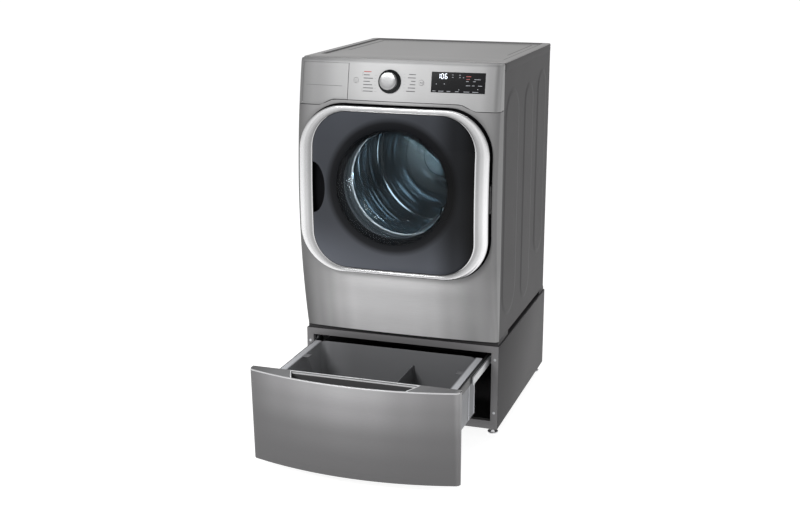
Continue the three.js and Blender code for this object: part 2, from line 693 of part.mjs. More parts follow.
function counterweight() {
  const ring = tubeY(218, 300, 4, TUB_FRONT - GAP, 0, DRUM_Z, 32);
  return ring.intersect(box(-320, 320, -20, 60, DRUM_Z + 20, DRUM_Z + 330));
}

function doorGasket() {
  return turnedY([
    [218, -40], [190, -40], [190, -28], [197, -14], [210, -6], [210, 2], [192, 12], [192, TUB_FRONT - GAP],
    [214, TUB_FRONT - GAP], [214, TUB_FRONT - 4], [196, TUB_FRONT - 4], [196, 15], [214, 5], [214, -9],
    [200, -18], [194, -30], [194, -36], [218, -36], [218, -40],
  ], 24, 0, DRUM_Z);
}

// A coil spring on a vertical axis, hooked between z0 and z1.
function coilSpring(radius, wire, turns, z0, z1) {
  const points = [];
  const steps = turns * 6;
  for (let i = 0; i <= steps; i += 1) {
    const angle = (i / 6) * 2 * Math.PI;
    const z = z0 + wire + ((z1 - z0 - 2 * wire) * i) / steps;
    points.push(new THREE.Vector3(radius * Math.cos(angle), radius * Math.sin(angle), z));
  }
  const path = new THREE.CatmullRomCurve3(points);
  const section = new THREE.Shape();
  section.absarc(0, 0, wire, 0, 2 * Math.PI);
  const options = { steps, extrudePath: path, curveSegments: 3, bevelEnabled: false };
  return new THREE.ExtrudeGeometry(section, options);
}

function suspensionSpring(side) {
  const geometry = coilSpring(10, 2, 5, SPRING_Z0, SPRING_Z1);
  geometry.translate(side * SPRING_X, SPRING_Y, 0);
  return solid(geometry);
}

const DAMPER = { z0: MACHINE_Z0 + 3.6, z1: 560, bore: 8, r: 14 };

function damperBody(side) {
  const { z0, z1, bore, r } = DAMPER;
  const profile = [[0, z0], [r, z0], [r, z1], [bore, z1], [bore, z0 + 30], [0, z0 + 30]];
  return turnedZ(profile, 16, side * DAMPER_X, DAMPER_Y);
}

function damperRod(side) {
  return rodZ(DAMPER.bore - 1, 450, DAMPER_TOP - GAP, side * DAMPER_X, DAMPER_Y, 12);
}

const PUMP = { x: 0, y: 250, z: 440 };

function drainPump() {
  const volute = rodY(42, PUMP.y - 40, PUMP.y + 20, PUMP.x, PUMP.z, 20);
  const motor = rodY(30, PUMP.y + 18, PUMP.y + 90, PUMP.x, PUMP.z, 16);
  const inlet = rodZ(17, PUMP.z + 30, PUMP.z + 62, PUMP.x, PUMP.y, 12);
  const stand = box(PUMP.x - 38, PUMP.x + 38, PUMP.y - 30, PUMP.y + 80, MACHINE_Z0 + 3.6, MACHINE_Z0 + 42);
  return join(volute, motor, inlet, stand);
}

// Hose from the sump spout under the tub down to the pump's inlet.
function sumpHose() {
  const top = 601.5;
  const bottom = PUMP.z + 62.4;
  const path = new THREE.CatmullRomCurve3([
    new THREE.Vector3(0, SUMP_Y, top),
    new THREE.Vector3(0, SUMP_Y - 6, top - 24),
    new THREE.Vector3(0, (SUMP_Y + PUMP.y) / 2, (top + bottom) / 2),
    new THREE.Vector3(0, PUMP.y + 6, bottom + 24),
    new THREE.Vector3(0, PUMP.y, bottom),
  ]);
  const ring = new THREE.Shape();
  ring.absarc(0, 0, 19, 0, 2 * Math.PI);
  const bore = new THREE.Path();
  bore.absarc(0, 0, 15.5, 0, 2 * Math.PI, true);
  ring.holes.push(bore);
  const options = { steps: 9, extrudePath: path, curveSegments: 4, bevelEnabled: false };
  return solid(new THREE.ExtrudeGeometry(ring, options)).intersect(box(-60, 60, 150, 500, bottom, top - 0.3));
}

function inletValve() {
  const body = box(-318, -202, 700, 786, 1266, 1314);
  const ports = [-290, -230].map((x) => rodY(13, 780, 793, x, 1290, 12));
  return join(body, ...ports);
}

// ---- pedestal -----------------------------------------------------------------------------
function pedestalShell() {
  const outer = box(-PED_HALF, PED_HALF, PED_FRONT + 3, PED_BACK, PED_Z0, PED_Z1 - 3.6);
  const inner = box(-PED_HALF + SHEET, PED_HALF - SHEET, 0, PED_BACK - SHEET, PED_Z0 + SHEET, PED_Z1 + 5);
  return cut(outer, inner);
}

function pedestalFrontFrame() {
  const plate = box(-PED_HALF, PED_HALF, PED_FRONT, PED_FRONT + SHEET, PED_Z0, PED_Z1);
  const half = OPENING_HALF + 3;
  const lip = box(-half, half, PED_FRONT, PED_FRONT + 22, OPENING_Z0 - 3, OPENING_Z1 + 3);
  const hole = box(-OPENING_HALF, OPENING_HALF, 0, 60, OPENING_Z0, OPENING_Z1);
  return cut(join(plate, lip), hole);
}

function pedestalDeck() {
  const plate = box(-PED_HALF, PED_HALF, PED_FRONT + 3, PED_BACK, PED_Z1 - 1.4, PED_Z1);
  const ends = [[PED_FRONT + 10, 171], [703, PED_BACK - 8]];
  const rails = ends.map(
    ([y0, y1]) => box(-PED_HALF + 4, PED_HALF - 4, y0, y1, PED_Z1 - 0.7, MACHINE_Z0 - 0.3),
  );
  const hollows = ends.map(
    ([y0, y1]) => box(-PED_HALF + 5.4, PED_HALF - 5.4, y0 + 1.4, y1 - 1.4, PED_Z1 - 10, MACHINE_Z0 - 1.7),
  );
  return cut(join(plate, ...rails), ...hollows);
}

function pedestalFoot() {
  return turnedZ([
    [0, 0], [20.5, 0], [20.5, 6], [6, 10], [6, 24], [11, 24.5], [11, PED_Z0 - 0.4], [0, PED_Z0 - 0.4],
  ], 12, 0, 0);
}

// Rails sit one outside the other: the drawer's slide, then the middle rail, then the fixed rail.
function drawerRail(side) {
  const y0 = PED_FRONT + 28;
  const web = sideBox(side, 337, 343, y0, y0 + RAIL_LENGTH, 276, 312);
  const brackets = [y0 + 10, y0 + RAIL_LENGTH - 50].map(
    (y) => sideBox(side, 340, PED_HALF - SHEET - GAP, y, y + 40, 282, 306),
  );
  return join(web, ...brackets);
}

function middleRail(side) {
  const y0 = PED_FRONT + 28 - DRAWER_OPEN / 2;
  return sideBox(side, 329, 336.5, y0, y0 + RAIL_LENGTH, 280, 308);
}

function drawerSlide(side) {
  const y0 = DRAWER_BACK + 2;
  return join(
    sideBox(side, 322, 328.5, y0, y0 + RAIL_LENGTH, 284, 314),
    sideBox(side, BIN_HALF + GAP, 323, y0 + 2, y0 + 440, 300, 312),
  );
}

function drawerBin() {
  const [y0, y1] = [DRAWER_BACK + 1.5, BIN_BACK];
  const wall = 3;
  const outside = rounded(-BIN_HALF, BIN_HALF, y0, y1, 26);
  const inside = rounded(-BIN_HALF + wall, BIN_HALF - wall, y0 + wall, y1 - wall, 23);
  const tub = cut(prismZ(outside, 112, RIM_Z, 4), prismZ(inside, 112 + wall, RIM_Z + 5, 4));
  const rims = [-1, 1].map((side) => sideBox(side, BIN_HALF - 2.5, 321, y0 + 4, y1 - 4, RIM_Z - 3, RIM_Z));
  const tabs = [-1, 1].map((side) => sideBox(side, 274, BIN_HALF - 1, -206, -176, RIM_Z - 3, RIM_Z));
  const ribs = [-1, 1].flatMap((side) => [-430, -330, -230, -130, -60].map(
    (y) => sideBox(side, BIN_HALF - 1, BIN_HALF + 4, y, y + 5, 118, 296),
  ));
  return join(tub, ...rims, ...tabs, ...ribs);
}

function drawerDivider() {
  const [y0, y1] = [DRAWER_BACK + 5, BIN_BACK - 3.5];
  const plate = box(58, 61, y0, y1, 115.5, 260);
  const post = box(55, 64, y1 - 10, y1, 115.5, 262);
  return join(plate, post);
}

function drawerY(x, z, inset) {
  const radius = Math.max(DRAWER_CORNER - inset, 1);
  const over = Math.max(Math.abs(x) - (DRAWER_HALF - inset - radius), 0);
  const corner = radius - Math.sqrt(Math.max(radius * radius - over * over, 0));
  const lean = (DRAWER_LEAN * (DRAWER_Z1 - z)) / (DRAWER_Z1 - DRAWER_Z0);
  return DRAWER_APEX + DRAWER_BOW * (x / DRAWER_HALF) ** 2 + lean + corner + inset;
}

function drawerBlock(inset, back, z0, z1) {
  const xs = columns(DRAWER_HALF - inset, Math.max(DRAWER_CORNER - inset, 1), 14, 2);
  return bowedBlock(xs, z0, z1, 1, back, (x, z) => drawerY(x, z, inset));
}

// The finger pocket in the drawer front's top: straight at the back, slanted at the ends.
function pocket(grow, z0, z1) {
  const rear = DRAWER_BACK - 10 + grow;
  const shape = outline([[-226 - grow, rear], [226 + grow, rear], [172 + grow, -600], [-172 - grow, -600]]);
  return prismZ(shape, z0, z1);
}

function drawerFront() {
  const shell = cut(
    drawerBlock(0, DRAWER_BACK, DRAWER_Z0, DRAWER_Z1),
    drawerBlock(DRAWER_SKIN, DRAWER_BACK - DRAWER_SKIN, DRAWER_Z0 - 5, DRAWER_Z1 - DRAWER_SKIN),
  );
  const cup = drawerBlock(DRAWER_SKIN - 1, DRAWER_BACK - 1, POCKET_FLOOR - 2, DRAWER_Z1 - 1)
    .intersect(pocket(8, POCKET_FLOOR - 2, DRAWER_Z1 - 1));
  const fingerRoom = drawerBlock(POCKET_LIP, DRAWER_BACK - 3, POCKET_FLOOR, DRAWER_Z1 + 5)
    .intersect(pocket(0, POCKET_FLOOR, DRAWER_Z1 + 5));
  const trimSeat = drawerBlock(POCKET_LIP + 0.6, DRAWER_BACK - 2, DRAWER_Z1 - 3.5, DRAWER_Z1 + 5)
    .intersect(pocket(5.4, DRAWER_Z1 - 3.5, DRAWER_Z1 + 5));
  return cut(join(shell, cup), fingerRoom, trimSeat);
}

function drawerHandleTrim() {
  const strip = drawerBlock(POCKET_LIP + 1.1, DRAWER_BACK - 3, DRAWER_Z1 - 3, DRAWER_Z1 + 1.2)
    .intersect(pocket(5, DRAWER_Z1 - 3, DRAWER_Z1 + 1.2));
  return cut(strip, pocket(0, DRAWER_Z1 - 10, DRAWER_Z1 + 10));
}

// ---- assembly -----------------------------------------------------------------------------
const SIDES = [['left', -1], ['right', 1]];

function pedestal() {
  const feet = SIDES.flatMap(([sideName, side]) => [['front', 66], ['rear', 760]].map(([end, y]) => {
    const foot = part(`pedestal_foot_${end}_${sideName}`, pedestalFoot(), ZINC);
    foot.position.set(side * 343, y, 0);
    return foot;
  }));
  return group(
    part('pedestal_shell', pedestalShell(), GRAPHITE_DARK),
    part('pedestal_front_frame', pedestalFrontFrame(), GRAPHITE_DARK),
    part('pedestal_deck', pedestalDeck(), GRAPHITE_DARK),
    ...feet,
    ...SIDES.map(([sideName, side]) => part(`drawer_rail_${sideName}`, drawerRail(side), ZINC)),
    ...SIDES.map(([sideName, side]) => part(`drawer_rail_mid_${sideName}`, middleRail(side), ZINC)),
  );
}

function drawer() {
  return group(
    ...SIDES.map(([sideName, side]) => part(`drawer_slide_${sideName}`, drawerSlide(side), BLACK)),
    part('drawer_bin', drawerBin(), BIN_GREY),
    part('drawer_divider', drawerDivider(), BIN_GREY),
    part('drawer_front', drawerFront(), GRAPHITE),
    part('drawer_handle_trim', drawerHandleTrim(), CHROME),
  );
}

function cabinet() {
  return group(
    part('cabinet_shell', cabinetShell(), GRAPHITE_DARK),
    part('rear_cover', rearCover(), ZINC),
    part('base_pan', basePan(), ZINC),
    part('lid', lid(), GRAPHITE),
    part('front_panel', frontPanel(), GRAPHITE),
    part('control_fascia', controlFascia(), SILVER),
    part('display_window', displayWindow(), GLASS),
    part('control_board', controlBoard(), BOARD_GREEN),
    onFascia(part('dial_knob', dialKnob(), SILVER), DIAL.x),
    onFascia(part('power_button', pushButton(), SILVER), POWER_X),
    onFascia(part('start_button', pushButton(), SILVER), START_X),
    part('inlet_valve', inletValve(), IVORY),
    part('drain_pump', drainPump(), IVORY),
    part('sump_hose', sumpHose(), RUBBER),
    part('door_lock', doorLock(), BLACK),
    part('door_hinge_bracket', doorHingeBracket(), ZINC),
    ...SIDES.map(([sideName, side]) => part(`suspension_spring_${sideName}`, suspensionSpring(side), ZINC)),
    ...SIDES.map(([sideName, side]) => part(`damper_body_${sideName}`, damperBody(side), IVORY)),
  );
}

function door() {
  return group(
    part('door_trim_ring', doorTrimRing(), CHROME),
    part('door_outer_glass', doorOuterGlass(), GLASS),
    part('door_inner_frame', doorInnerFrame(), BLACK),
    part('door_bowl_glass', doorBowlGlass(), CLEAR),
    part('door_hinge_arm', doorHingeArm(), ZINC),
    part('door_latch_hook', doorLatchHook(), ZINC),
  );
}

function dispenser() {
  return group(
    part('dispenser_front', dispenserFront(), SILVER),
    part('dispenser_tray', dispenserTray(), IVORY),
    part('dispenser_housing', dispenserHousing(), IVORY),
  );
}

function washUnit() {
  const lifters = [0, 1, 2].map((i) => {
    const lifter = part(`drum_lifter_${i + 1}`, drumLifter(), IVORY);
    lifter.position.set(0, 0, DRUM_Z);
    lifter.rotation.y = (i * 2 * Math.PI) / 3;
    return lifter;
  });
  return group(
    part('tub_front', tubFront(), TUB_GREY),
    part('tub_rear', tubRear(), TUB_GREY),
    part('door_gasket', doorGasket(), RUBBER),
    part('counterweight', counterweight(), IRON),
    part('bearing_cartridge', bearingCartridge(), ZINC),
    part('motor_stator', motorStator(), COPPER),
    part('motor_rotor', motorRotor(), ZINC),
    part('drum_shell', drumShell(), STAINLESS),
    part('drum_spider', drumSpider(), STAINLESS),
    ...lifters,
    ...SIDES.map(([sideName, side]) => part(`damper_rod_${sideName}`, damperRod(side), ZINC)),
  );
}

const machine = group(pedestal(), drawer(), cabinet(), door(), dispenser(), washUnit());
machine.position.y = -ORIGIN_Y;
export default machine;
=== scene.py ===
"""Looks for the front-loading washing machine on its drawer pedestal.

Shapes are drawn in millimetres in the machine frame: X to the right, Y back from the top corners
of the control fascia, Z up from the floor. metres() turns a point into the row frame, where the
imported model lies.
"""
import bpy
import bmesh
import math
from mathutils import Matrix, Vector


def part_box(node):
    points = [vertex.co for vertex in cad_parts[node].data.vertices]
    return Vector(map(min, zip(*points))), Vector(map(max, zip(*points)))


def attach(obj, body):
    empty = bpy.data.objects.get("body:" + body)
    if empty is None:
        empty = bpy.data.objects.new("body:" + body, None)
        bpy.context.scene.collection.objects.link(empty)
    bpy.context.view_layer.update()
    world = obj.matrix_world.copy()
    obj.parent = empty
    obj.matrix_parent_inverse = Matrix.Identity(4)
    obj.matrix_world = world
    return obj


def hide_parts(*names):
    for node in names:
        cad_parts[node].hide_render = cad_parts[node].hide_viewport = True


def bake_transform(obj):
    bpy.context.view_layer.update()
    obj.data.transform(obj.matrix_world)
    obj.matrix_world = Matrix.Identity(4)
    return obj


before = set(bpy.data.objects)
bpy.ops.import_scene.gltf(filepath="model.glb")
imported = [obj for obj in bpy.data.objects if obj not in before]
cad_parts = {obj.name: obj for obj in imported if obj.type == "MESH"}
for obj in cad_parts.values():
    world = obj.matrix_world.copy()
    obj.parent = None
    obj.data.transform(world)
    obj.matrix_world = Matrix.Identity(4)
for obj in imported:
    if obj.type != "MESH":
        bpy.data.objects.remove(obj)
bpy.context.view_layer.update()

# ---- driving dimensions ----
MM = 0.001
FRONT = (0, -1, 0)
UP = (0, 0, 1)
LID_FRONT = 34.5
ORIGIN_Y = LID_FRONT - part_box("lid")[0].y / MM

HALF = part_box("front_panel")[1].x / MM
MACHINE_Z0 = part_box("front_panel")[0].z / MM
MACHINE_Z1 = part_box("lid")[1].z / MM
CABINET_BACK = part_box("lid")[1].y / MM + ORIGIN_Y
BULGE = 56
BULGE_Z = 900
BULGE_SPAN = 480
PLAN_BOW = 14
CORNER_R = 18
SKIN_BACK = 28

SEAM_LOW = 1203
SEAM_HIGH = 1225
SEAM_OUTER_X = 290
SEAM_SLOPE = 64
FASCIA_LEVEL = 1246
FASCIA_TOP = 1361.5
DISPLAY = (125, 314, 1263, 1332)
DISPENSER = (-352, -177, 1350)
DIAL_X = -24
DIAL_Z = 1293
POWER_X = -148
START_X = 90
TILT = math.atan(2 * BULGE * (DIAL_Z - BULGE_Z) / BULGE_SPAN ** 2)

DOOR_Z = 908
DOOR_HALF = (347, 300, 158)
GLASS_HALF = (297, 281, 127)
PANE_HALF = [size - 1.2 for size in GLASS_HALF]
DOOR_GAP = 5
RECESS = 12
RECESS_SHELF = 12
DOOR_PROUD = 28
MOUTH_R = 205
GRIP_Z = 915
GRIP_HALF_H = 92
GRIP_DEPTH = 48

DRUM_Z = 930
DRUM_R = 285
DRUM_FRONT = 74
DRUM_BACK = 560
HOLES_FROM = 236
HOLE_EDGE = 12.0
HOLE_DARK = 0.6

PED_FRONT = 14

DRAWER_HALF = 370
DRAWER_Z0 = 31
DRAWER_Z1 = 364
DRAWER_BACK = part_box("drawer_front")[1].y / MM + ORIGIN_Y
DRAWER_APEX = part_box("drawer_front")[0].y / MM + ORIGIN_Y
DRAWER_BOW = 58
DRAWER_LEAN = 16
DRAWER_CORNER = 12


def metres(x, y, z):
    return Vector((x, y - ORIGIN_Y, z)) * MM


def mix(a, b, t):
    return a + (b - a) * t


def steps(a, b, count):
    """count + 1 evenly spaced values from a to b."""
    return [mix(a, b, i / count) for i in range(count + 1)]


def line(a, b, count):
    """Evenly spaced points from a up to b, without b itself."""
    return [(mix(a[0], b[0], i / count), mix(a[1], b[1], i / count)) for i in range(count)]


def smooth(t):
    t = min(max(t, 0.0), 1.0)
    return t * t * (3 - 2 * t)


def rounded_off(x, half, radius):
    """How far a rounded corner takes an outline of this half width back at x."""
    over = max(abs(x) - (half - radius), 0)
    return radius - math.sqrt(max(radius * radius - over * over, 0))


def quarter(count):
    return steps(0, math.pi / 2, count)


# ---- the curved front ----
def front_y(x, z, inset=0.0):
    """Y of the machine's front skin, pushed back by inset."""
    corner = rounded_off(x, HALF - inset, max(CORNER_R - inset, 1))
    bulge = -BULGE * (1 - ((z - BULGE_Z) / BULGE_SPAN) ** 2)
    return bulge - PLAN_BOW * (1 - (x / HALF) ** 2) + corner + inset


def seam(x):
    """Height of the seam under the fascia, low at the sides and raised over the door."""
    return mix(SEAM_LOW, SEAM_HIGH, smooth((SEAM_OUTER_X - abs(x)) / SEAM_SLOPE))


def drawer_y(x, z, inset=0.0):
    """Y of the drawer's bowed and leaning front, pushed back by inset."""
    corner = rounded_off(x, DRAWER_HALF - inset, max(DRAWER_CORNER - inset, 1))
    lean = DRAWER_LEAN * (DRAWER_Z1 - z) / (DRAWER_Z1 - DRAWER_Z0)
    return DRAWER_APEX + DRAWER_BOW * (x / DRAWER_HALF) ** 2 + lean + corner + inset


# ---- materials ----
class Graph:
    """Adds and links the nodes of one material, or of the world."""

    def __init__(self, made):
        made.use_nodes = True
        self.nodes = made.node_tree.nodes
        self.links = made.node_tree.links

    def feed(self, node, socket, value):
        """Gives a socket of a named node a fixed value, or links another node's output to it."""
        socket = self.nodes[node].inputs[socket]
        if hasattr(value, "is_output"):
            self.links.new(value, socket)
        else:
            socket.default_value = value

    def add(self, kind, inputs, output=0, **settings):
        """A new node with its inputs fed. Returns one of its outputs."""
        node = self.nodes.new("ShaderNode" + kind)
        for name, value in settings.items():
            setattr(node, name, value)
        for socket, value in inputs.items():
            self.feed(node.name, socket, value)
        return node.outputs[output]

    def math(self, operation, *values):
        return self.add("Math", dict(enumerate(values)), operation=operation)

    def along(self, axis, source="Object"):
        """The place of a point of the surface along one axis."""
        return self.add("SeparateXYZ", {"Vector": self.add("TexCoord", {}, source)}, axis)

    def ramp(self, share, stops, interpolation):
        """A colour that changes with share. stops: (place, grey or colour)."""
        node = self.nodes.new("ShaderNodeValToRGB")
        colours = node.color_ramp
        colours.interpolation = interpolation
        low, high = stops[0][0], stops[-1][0]
        while len(colours.elements) < len(stops):
            colours.elements.new(0.5)
        for element, (at, value) in zip(colours.elements, stops):
            element.position = (at - low) / (high - low)
            element.color = (*value, 1) if isinstance(value, tuple) else (value, value, value, 1)
        self.feed(node.name, "Fac", share)
        return node.outputs["Color"]

    def band(self, axis, stops, source="Object", unit=MM):
        """A value that changes along an axis of the object. stops: (millimetres, value)."""
        ends = {"From Min": stops[0][0] * unit, "From Max": stops[-1][0] * unit}
        share = self.add("MapRange", {"Value": self.along(axis, source), **ends}, "Result")
        return self.ramp(share, stops, "EASE")

    def scale_colour(self, operation, socket, factor):
        """Multiplies the surface's colour by factor."""
        old = self.nodes["Principled BSDF"].inputs["Base Color"].links[0].from_socket
        new = self.add("VectorMath", {0: old, socket: factor}, operation=operation)
        self.feed("Principled BSDF", "Base Color", new)


def material(name, colour, roughness, metallic=0.0, stretch=(1, 1, 1), scale=400.0,
             spread=0.08, rough_spread=0.06, bump=0.04, shine=0.5, **constants):
    """A surface whose fine grain varies its colour, roughness and height. stretch draws the
    grain out along the axis with the smallest factor. constants are further sockets."""
    made = bpy.data.materials.new(name)
    graph = Graph(made)
    for socket, value in {"Metallic": metallic, "Specular IOR Level": shine, **constants}.items():
        graph.feed("Principled BSDF", socket, value)
    place = graph.add("TexCoord", {}, "Object")
    spot = graph.add("Mapping", {"Vector": place, "Scale": [scale * s for s in stretch]})
    grain = graph.add("TexNoise", {"Vector": spot, "Scale": 1.0, "Detail": 3.0}, "Fac")
    cloud = graph.add("TexNoise", {"Vector": place, "Scale": 4.0, "Detail": 2.0}, "Fac")
    tint = graph.add("MapRange", {"Value": grain, "To Min": 1 - spread, "To Max": 1 + spread}, "Result")
    paint = graph.add("VectorMath", {0: colour, "Scale": tint}, operation="SCALE")
    gloss = graph.add("MapRange", {
        "Value": graph.math("ADD", grain, cloud), "From Max": 2.0,
        "To Min": max(roughness - rough_spread, 0.0), "To Max": roughness + rough_spread}, "Result")
    relief = graph.add("Bump", {"Height": grain, "Strength": bump, "Distance": MM}, "Normal")
    for socket, value in (("Base Color", paint), ("Roughness", gloss), ("Normal", relief)):
        graph.feed("Principled BSDF", socket, value)
    return made


def radial_zones(made, zones, socket):
    """Drives a socket of made's shader by distance from the drum's axis. zones is a list of
    (radius in millimetres, value)."""
    graph = Graph(made)
    settings = {0: graph.add("TexCoord", {}, "Object"), 1: (1, 0, 1), 2: (0, 0, -DRUM_Z * MM)}
    flat = graph.add("VectorMath", settings, operation="MULTIPLY_ADD")
    reach = graph.add("VectorMath", {0: flat}, "Value", operation="LENGTH")
    share = graph.math("DIVIDE", reach, zones[-1][0] * MM)
    graph.feed("Principled BSDF", socket, graph.ramp(share, zones, "LINEAR"))


def paint_light_bands(made, stops, rise=None, rest=None, axis="X", **source):
    """Paints light and shade into made's colour by scaling it by the stops along an axis. rise gives the
    share of that band by height, and what is left takes the rest's stops."""
    graph = Graph(made)
    factor = graph.band(axis, stops, **source)
    if rise:
        parts = {0: graph.band("Z", rise), 6: graph.band("X", rest), 7: factor}
        factor = graph.add("Mix", parts, 2, data_type="RGBA")
    graph.scale_colour("MULTIPLY", 1, factor)


def perforate(made, pitch, radius):
    """Rows of round holes over the drum's wall, in its own round coordinates."""
    graph = Graph(made)
    calc = graph.math
    x, y, z = [graph.along(axis) for axis in "XYZ"]
    turn = calc("ARCTAN2", calc("SUBTRACT", z, DRUM_Z * MM), x)
    across = calc("MULTIPLY", turn, round(2 * math.pi * DRUM_R / pitch) / (2 * math.pi))
    along = calc("DIVIDE", y, pitch * MM)
    shifted = calc("MULTIPLY_ADD", calc("FLOOR", along), 0.5, across)
    u = calc("SUBTRACT", calc("FRACT", shifted), 0.5)
    v = calc("SUBTRACT", calc("FRACT", along), 0.5)
    away = calc("SQRT", calc("ADD", calc("MULTIPLY", u, u), calc("MULTIPLY", v, v)))
    solid = calc("MULTIPLY", calc("SUBTRACT", away, radius / pitch), HOLE_EDGE)
    mask = graph.add("Clamp", {"Value": solid})
    deep = calc("GREATER_THAN", y, (HOLES_FROM - ORIGIN_Y) * MM)
    dark = calc("MULTIPLY", calc("SUBTRACT", 1.0, mask), calc("MULTIPLY", deep, HOLE_DARK))
    graph.scale_colour("SCALE", "Scale", calc("SUBTRACT", 1.0, dark))


def steel(name, colour, roughness=0.50, metallic=0.3, scale=900, spread=0.08, rough_spread=0.05,
          bump=0.04, **constants):
    """Sheet steel brushed from side to side."""
    return material(name, colour, roughness, metallic, (0.01, 1.0, 1.0), scale, spread,
                    rough_spread, bump, **constants)


def clean(name, colour, roughness, metallic=0.0, scale=20, spread=0.03, rough_spread=0.02,
          **constants):
    """Glass, chrome or gloss without any relief."""
    return material(name, colour, roughness, metallic, (1, 1, 1), scale, spread, rough_spread,
                    0.0, **constants)


def matt(name, colour, roughness, scale, spread, bump=0.0, metallic=0.0, **constants):
    """Paint, plastic, rubber or print."""
    return material(name, colour, roughness, metallic, (1, 1, 1), scale, spread, bump=bump,
                    **constants)


def glow(colour, strength):
    return {"Emission Color": colour, "Emission Strength": strength}


LOOK = {
    "graphite": steel("graphite_steel", (0.88, 0.876, 0.884), shine=0.3),
    "drawer_steel": steel("drawer_steel", (0.37, 0.366, 0.373), shine=0.3),
    # A much darker copy of the drawer steel for the finger pocket: painted shade inside it.
    "pocket": steel("pocket_painted_shade_steel", (0.11, 0.109, 0.112), shine=0.3),
    "lid": steel("lid_steel", (0.40, 0.395, 0.395), 0.42, 0.7),
    # A much darker copy of the lid steel for the dish's step walls: painted shade along the step.
    "lid_step_shade": steel("lid_step_painted_shade", (0.075, 0.074, 0.075)),
    "silver": steel("fascia_silver", (0.46, 0.46, 0.463), 0.50, 0.25, 900, 0.05, 0.04, 0.03,
                    shine=0.3),
    # The bright trim is near white with little metal: its brightness is partly painted reflection of a
    # chrome strip.
    "trim": clean("handle_trim", (0.92, 0.92, 0.93), 0.35, 0.1, 60, 0.02, 0.03),
    "side": matt("side_paint", (0.043, 0.0415, 0.0435), 0.50, 700, 0.05, 0.06,
                 shine=0.12),
    "chrome": clean("bright_chrome", (0.80, 0.80, 0.81), 0.16, 1.0, 60, 0.02, 0.03),
    "glass": clean("door_glass", (0.04, 0.043, 0.048), 0.06, shine=0.10),
    "display": clean("display_glass", (0.008, 0.008, 0.009), 0.18, shine=0.15),
    "clear": clean("bowl_glass", (0.14, 0.18, 0.20), 0.03, spread=0.02, Alpha=0.07),
    # Near-black matt for deep gaps and hollows: painted shade.
    "recess": matt("painted_shade_black", (0.004, 0.004, 0.005), 0.7, 500, 0.12,
                   shine=0.05),
    "pan": matt("pan_grey", (0.030, 0.030, 0.032), 0.5, 700, 0.1, 0.06, shine=0.3),
    # Painted light: the pedestal's front frame gets a much lighter paint than the side, so it stays
    # light in the shade under the machine.
    "frame": matt("frame_painted_light", (0.17, 0.167, 0.171), 0.5, 700, 0.05, 0.05,
                  shine=0.3),
    # A lighter steel for the drawer's rolled top edge: painted highlight.
    "edge": steel("edge_highlight_steel", (0.58, 0.58, 0.59), 0.38, 0.4, 900, 0.04, 0.04, 0.02),
    "black": matt("black_plastic", (0.014, 0.014, 0.015), 0.42, 900, 0.15, 0.12),
    "well": clean("well_gloss", (0.008, 0.009, 0.010), 0.22, 0.0, 200, 0.1, 0.03,
                  shine=0.2),
    "slide": matt("slide_black", (0.018, 0.018, 0.019), 0.35, 500, 0.1, 0.05, 0.4),
    "bin": matt("bin_plastic", (0.60, 0.61, 0.64), 0.45, 800, 0.05, 0.07),
    "drum": steel("drum_steel", (0.30, 0.365, 0.41), 0.12, 1.0, 400, 0.06, 0.05, 0.03),
    "stainless": steel("stainless", (0.55, 0.57, 0.60), 0.28, 1.0, 500),
    "tub": matt("tub_plastic", (0.30, 0.31, 0.32), 0.6, 300, 0.08, 0.12),
    "rubber": matt("grey_rubber", (0.012, 0.013, 0.015), 0.6, 500, 0.10, 0.10,
                   shine=0.15),
    "zinc": material("zinc_plate", (0.50, 0.51, 0.52), 0.40, 0.85, scale=90, spread=0.18,
                     rough_spread=0.12, bump=0.03),
    "cover": material("cover_plate", (0.24, 0.245, 0.25), 0.48, 0.7, scale=60, spread=0.06,
                      rough_spread=0.05, bump=0.02),
    "iron": matt("cast_weight", (0.09, 0.088, 0.085), 0.75, 120, 0.25, 0.5, 0.3),
    "board": matt("board_green", (0.02, 0.10, 0.05), 0.40, 250, 0.3, 0.15),
    "copper": material("copper_winding", (0.50, 0.22, 0.10), 0.35, 0.9, (0.2, 0.2, 1.0), 900,
                       0.3, 0.1, 0.4),
    "ivory": matt("ivory_plastic", (0.62, 0.61, 0.57), 0.45, 600, 0.04, 0.05),
    "print": matt("dark_print", (0.12, 0.12, 0.125), 0.6, 900, 0.1),
    "print_red": matt("red_print", (0.42, 0.10, 0.09), 0.6, 900, 0.1),
    "lit": matt("lit_segment", (0.8, 0.85, 0.95), 0.5, 900, 0.02,
                **glow((0.80, 0.88, 1.0, 1), 1.3)),
    "dim": matt("dim_segment", (0.25, 0.26, 0.28), 0.5, 900, 0.1,
                **glow((0.5, 0.5, 0.55, 1), 0.12)),
    "dial": material("dial_cap_silver", (0.38, 0.38, 0.385), 0.30, 0.9, scale=500, spread=0.04,
                     rough_spread=0.05, bump=0.02, Anisotropic=0.75),
    "ring": clean("ring_silver", (0.82, 0.82, 0.83), 0.24, 0.9, 300, 0.02, 0.03),
}
perforate(LOOK["drum"], 15.0, 1.9)
# Painted shade and reflection on the door glass: near black over the window and in a ring just outside
# it, which stands for the shade of the well behind; lighter further out as painted reflection.
radial_zones(LOOK["glass"], [
    (0, (0.003, 0.005, 0.007)), (202, (0.004, 0.005, 0.007)), (226, (0.014, 0.015, 0.018)),
    (248, (0.084, 0.090, 0.105)), (420, (0.118, 0.127, 0.150)),
], "Base Color")
radial_zones(LOOK["glass"], [(0, 0.20), (196, 0.22), (206, 1.0), (420, 1.0)], "Alpha")
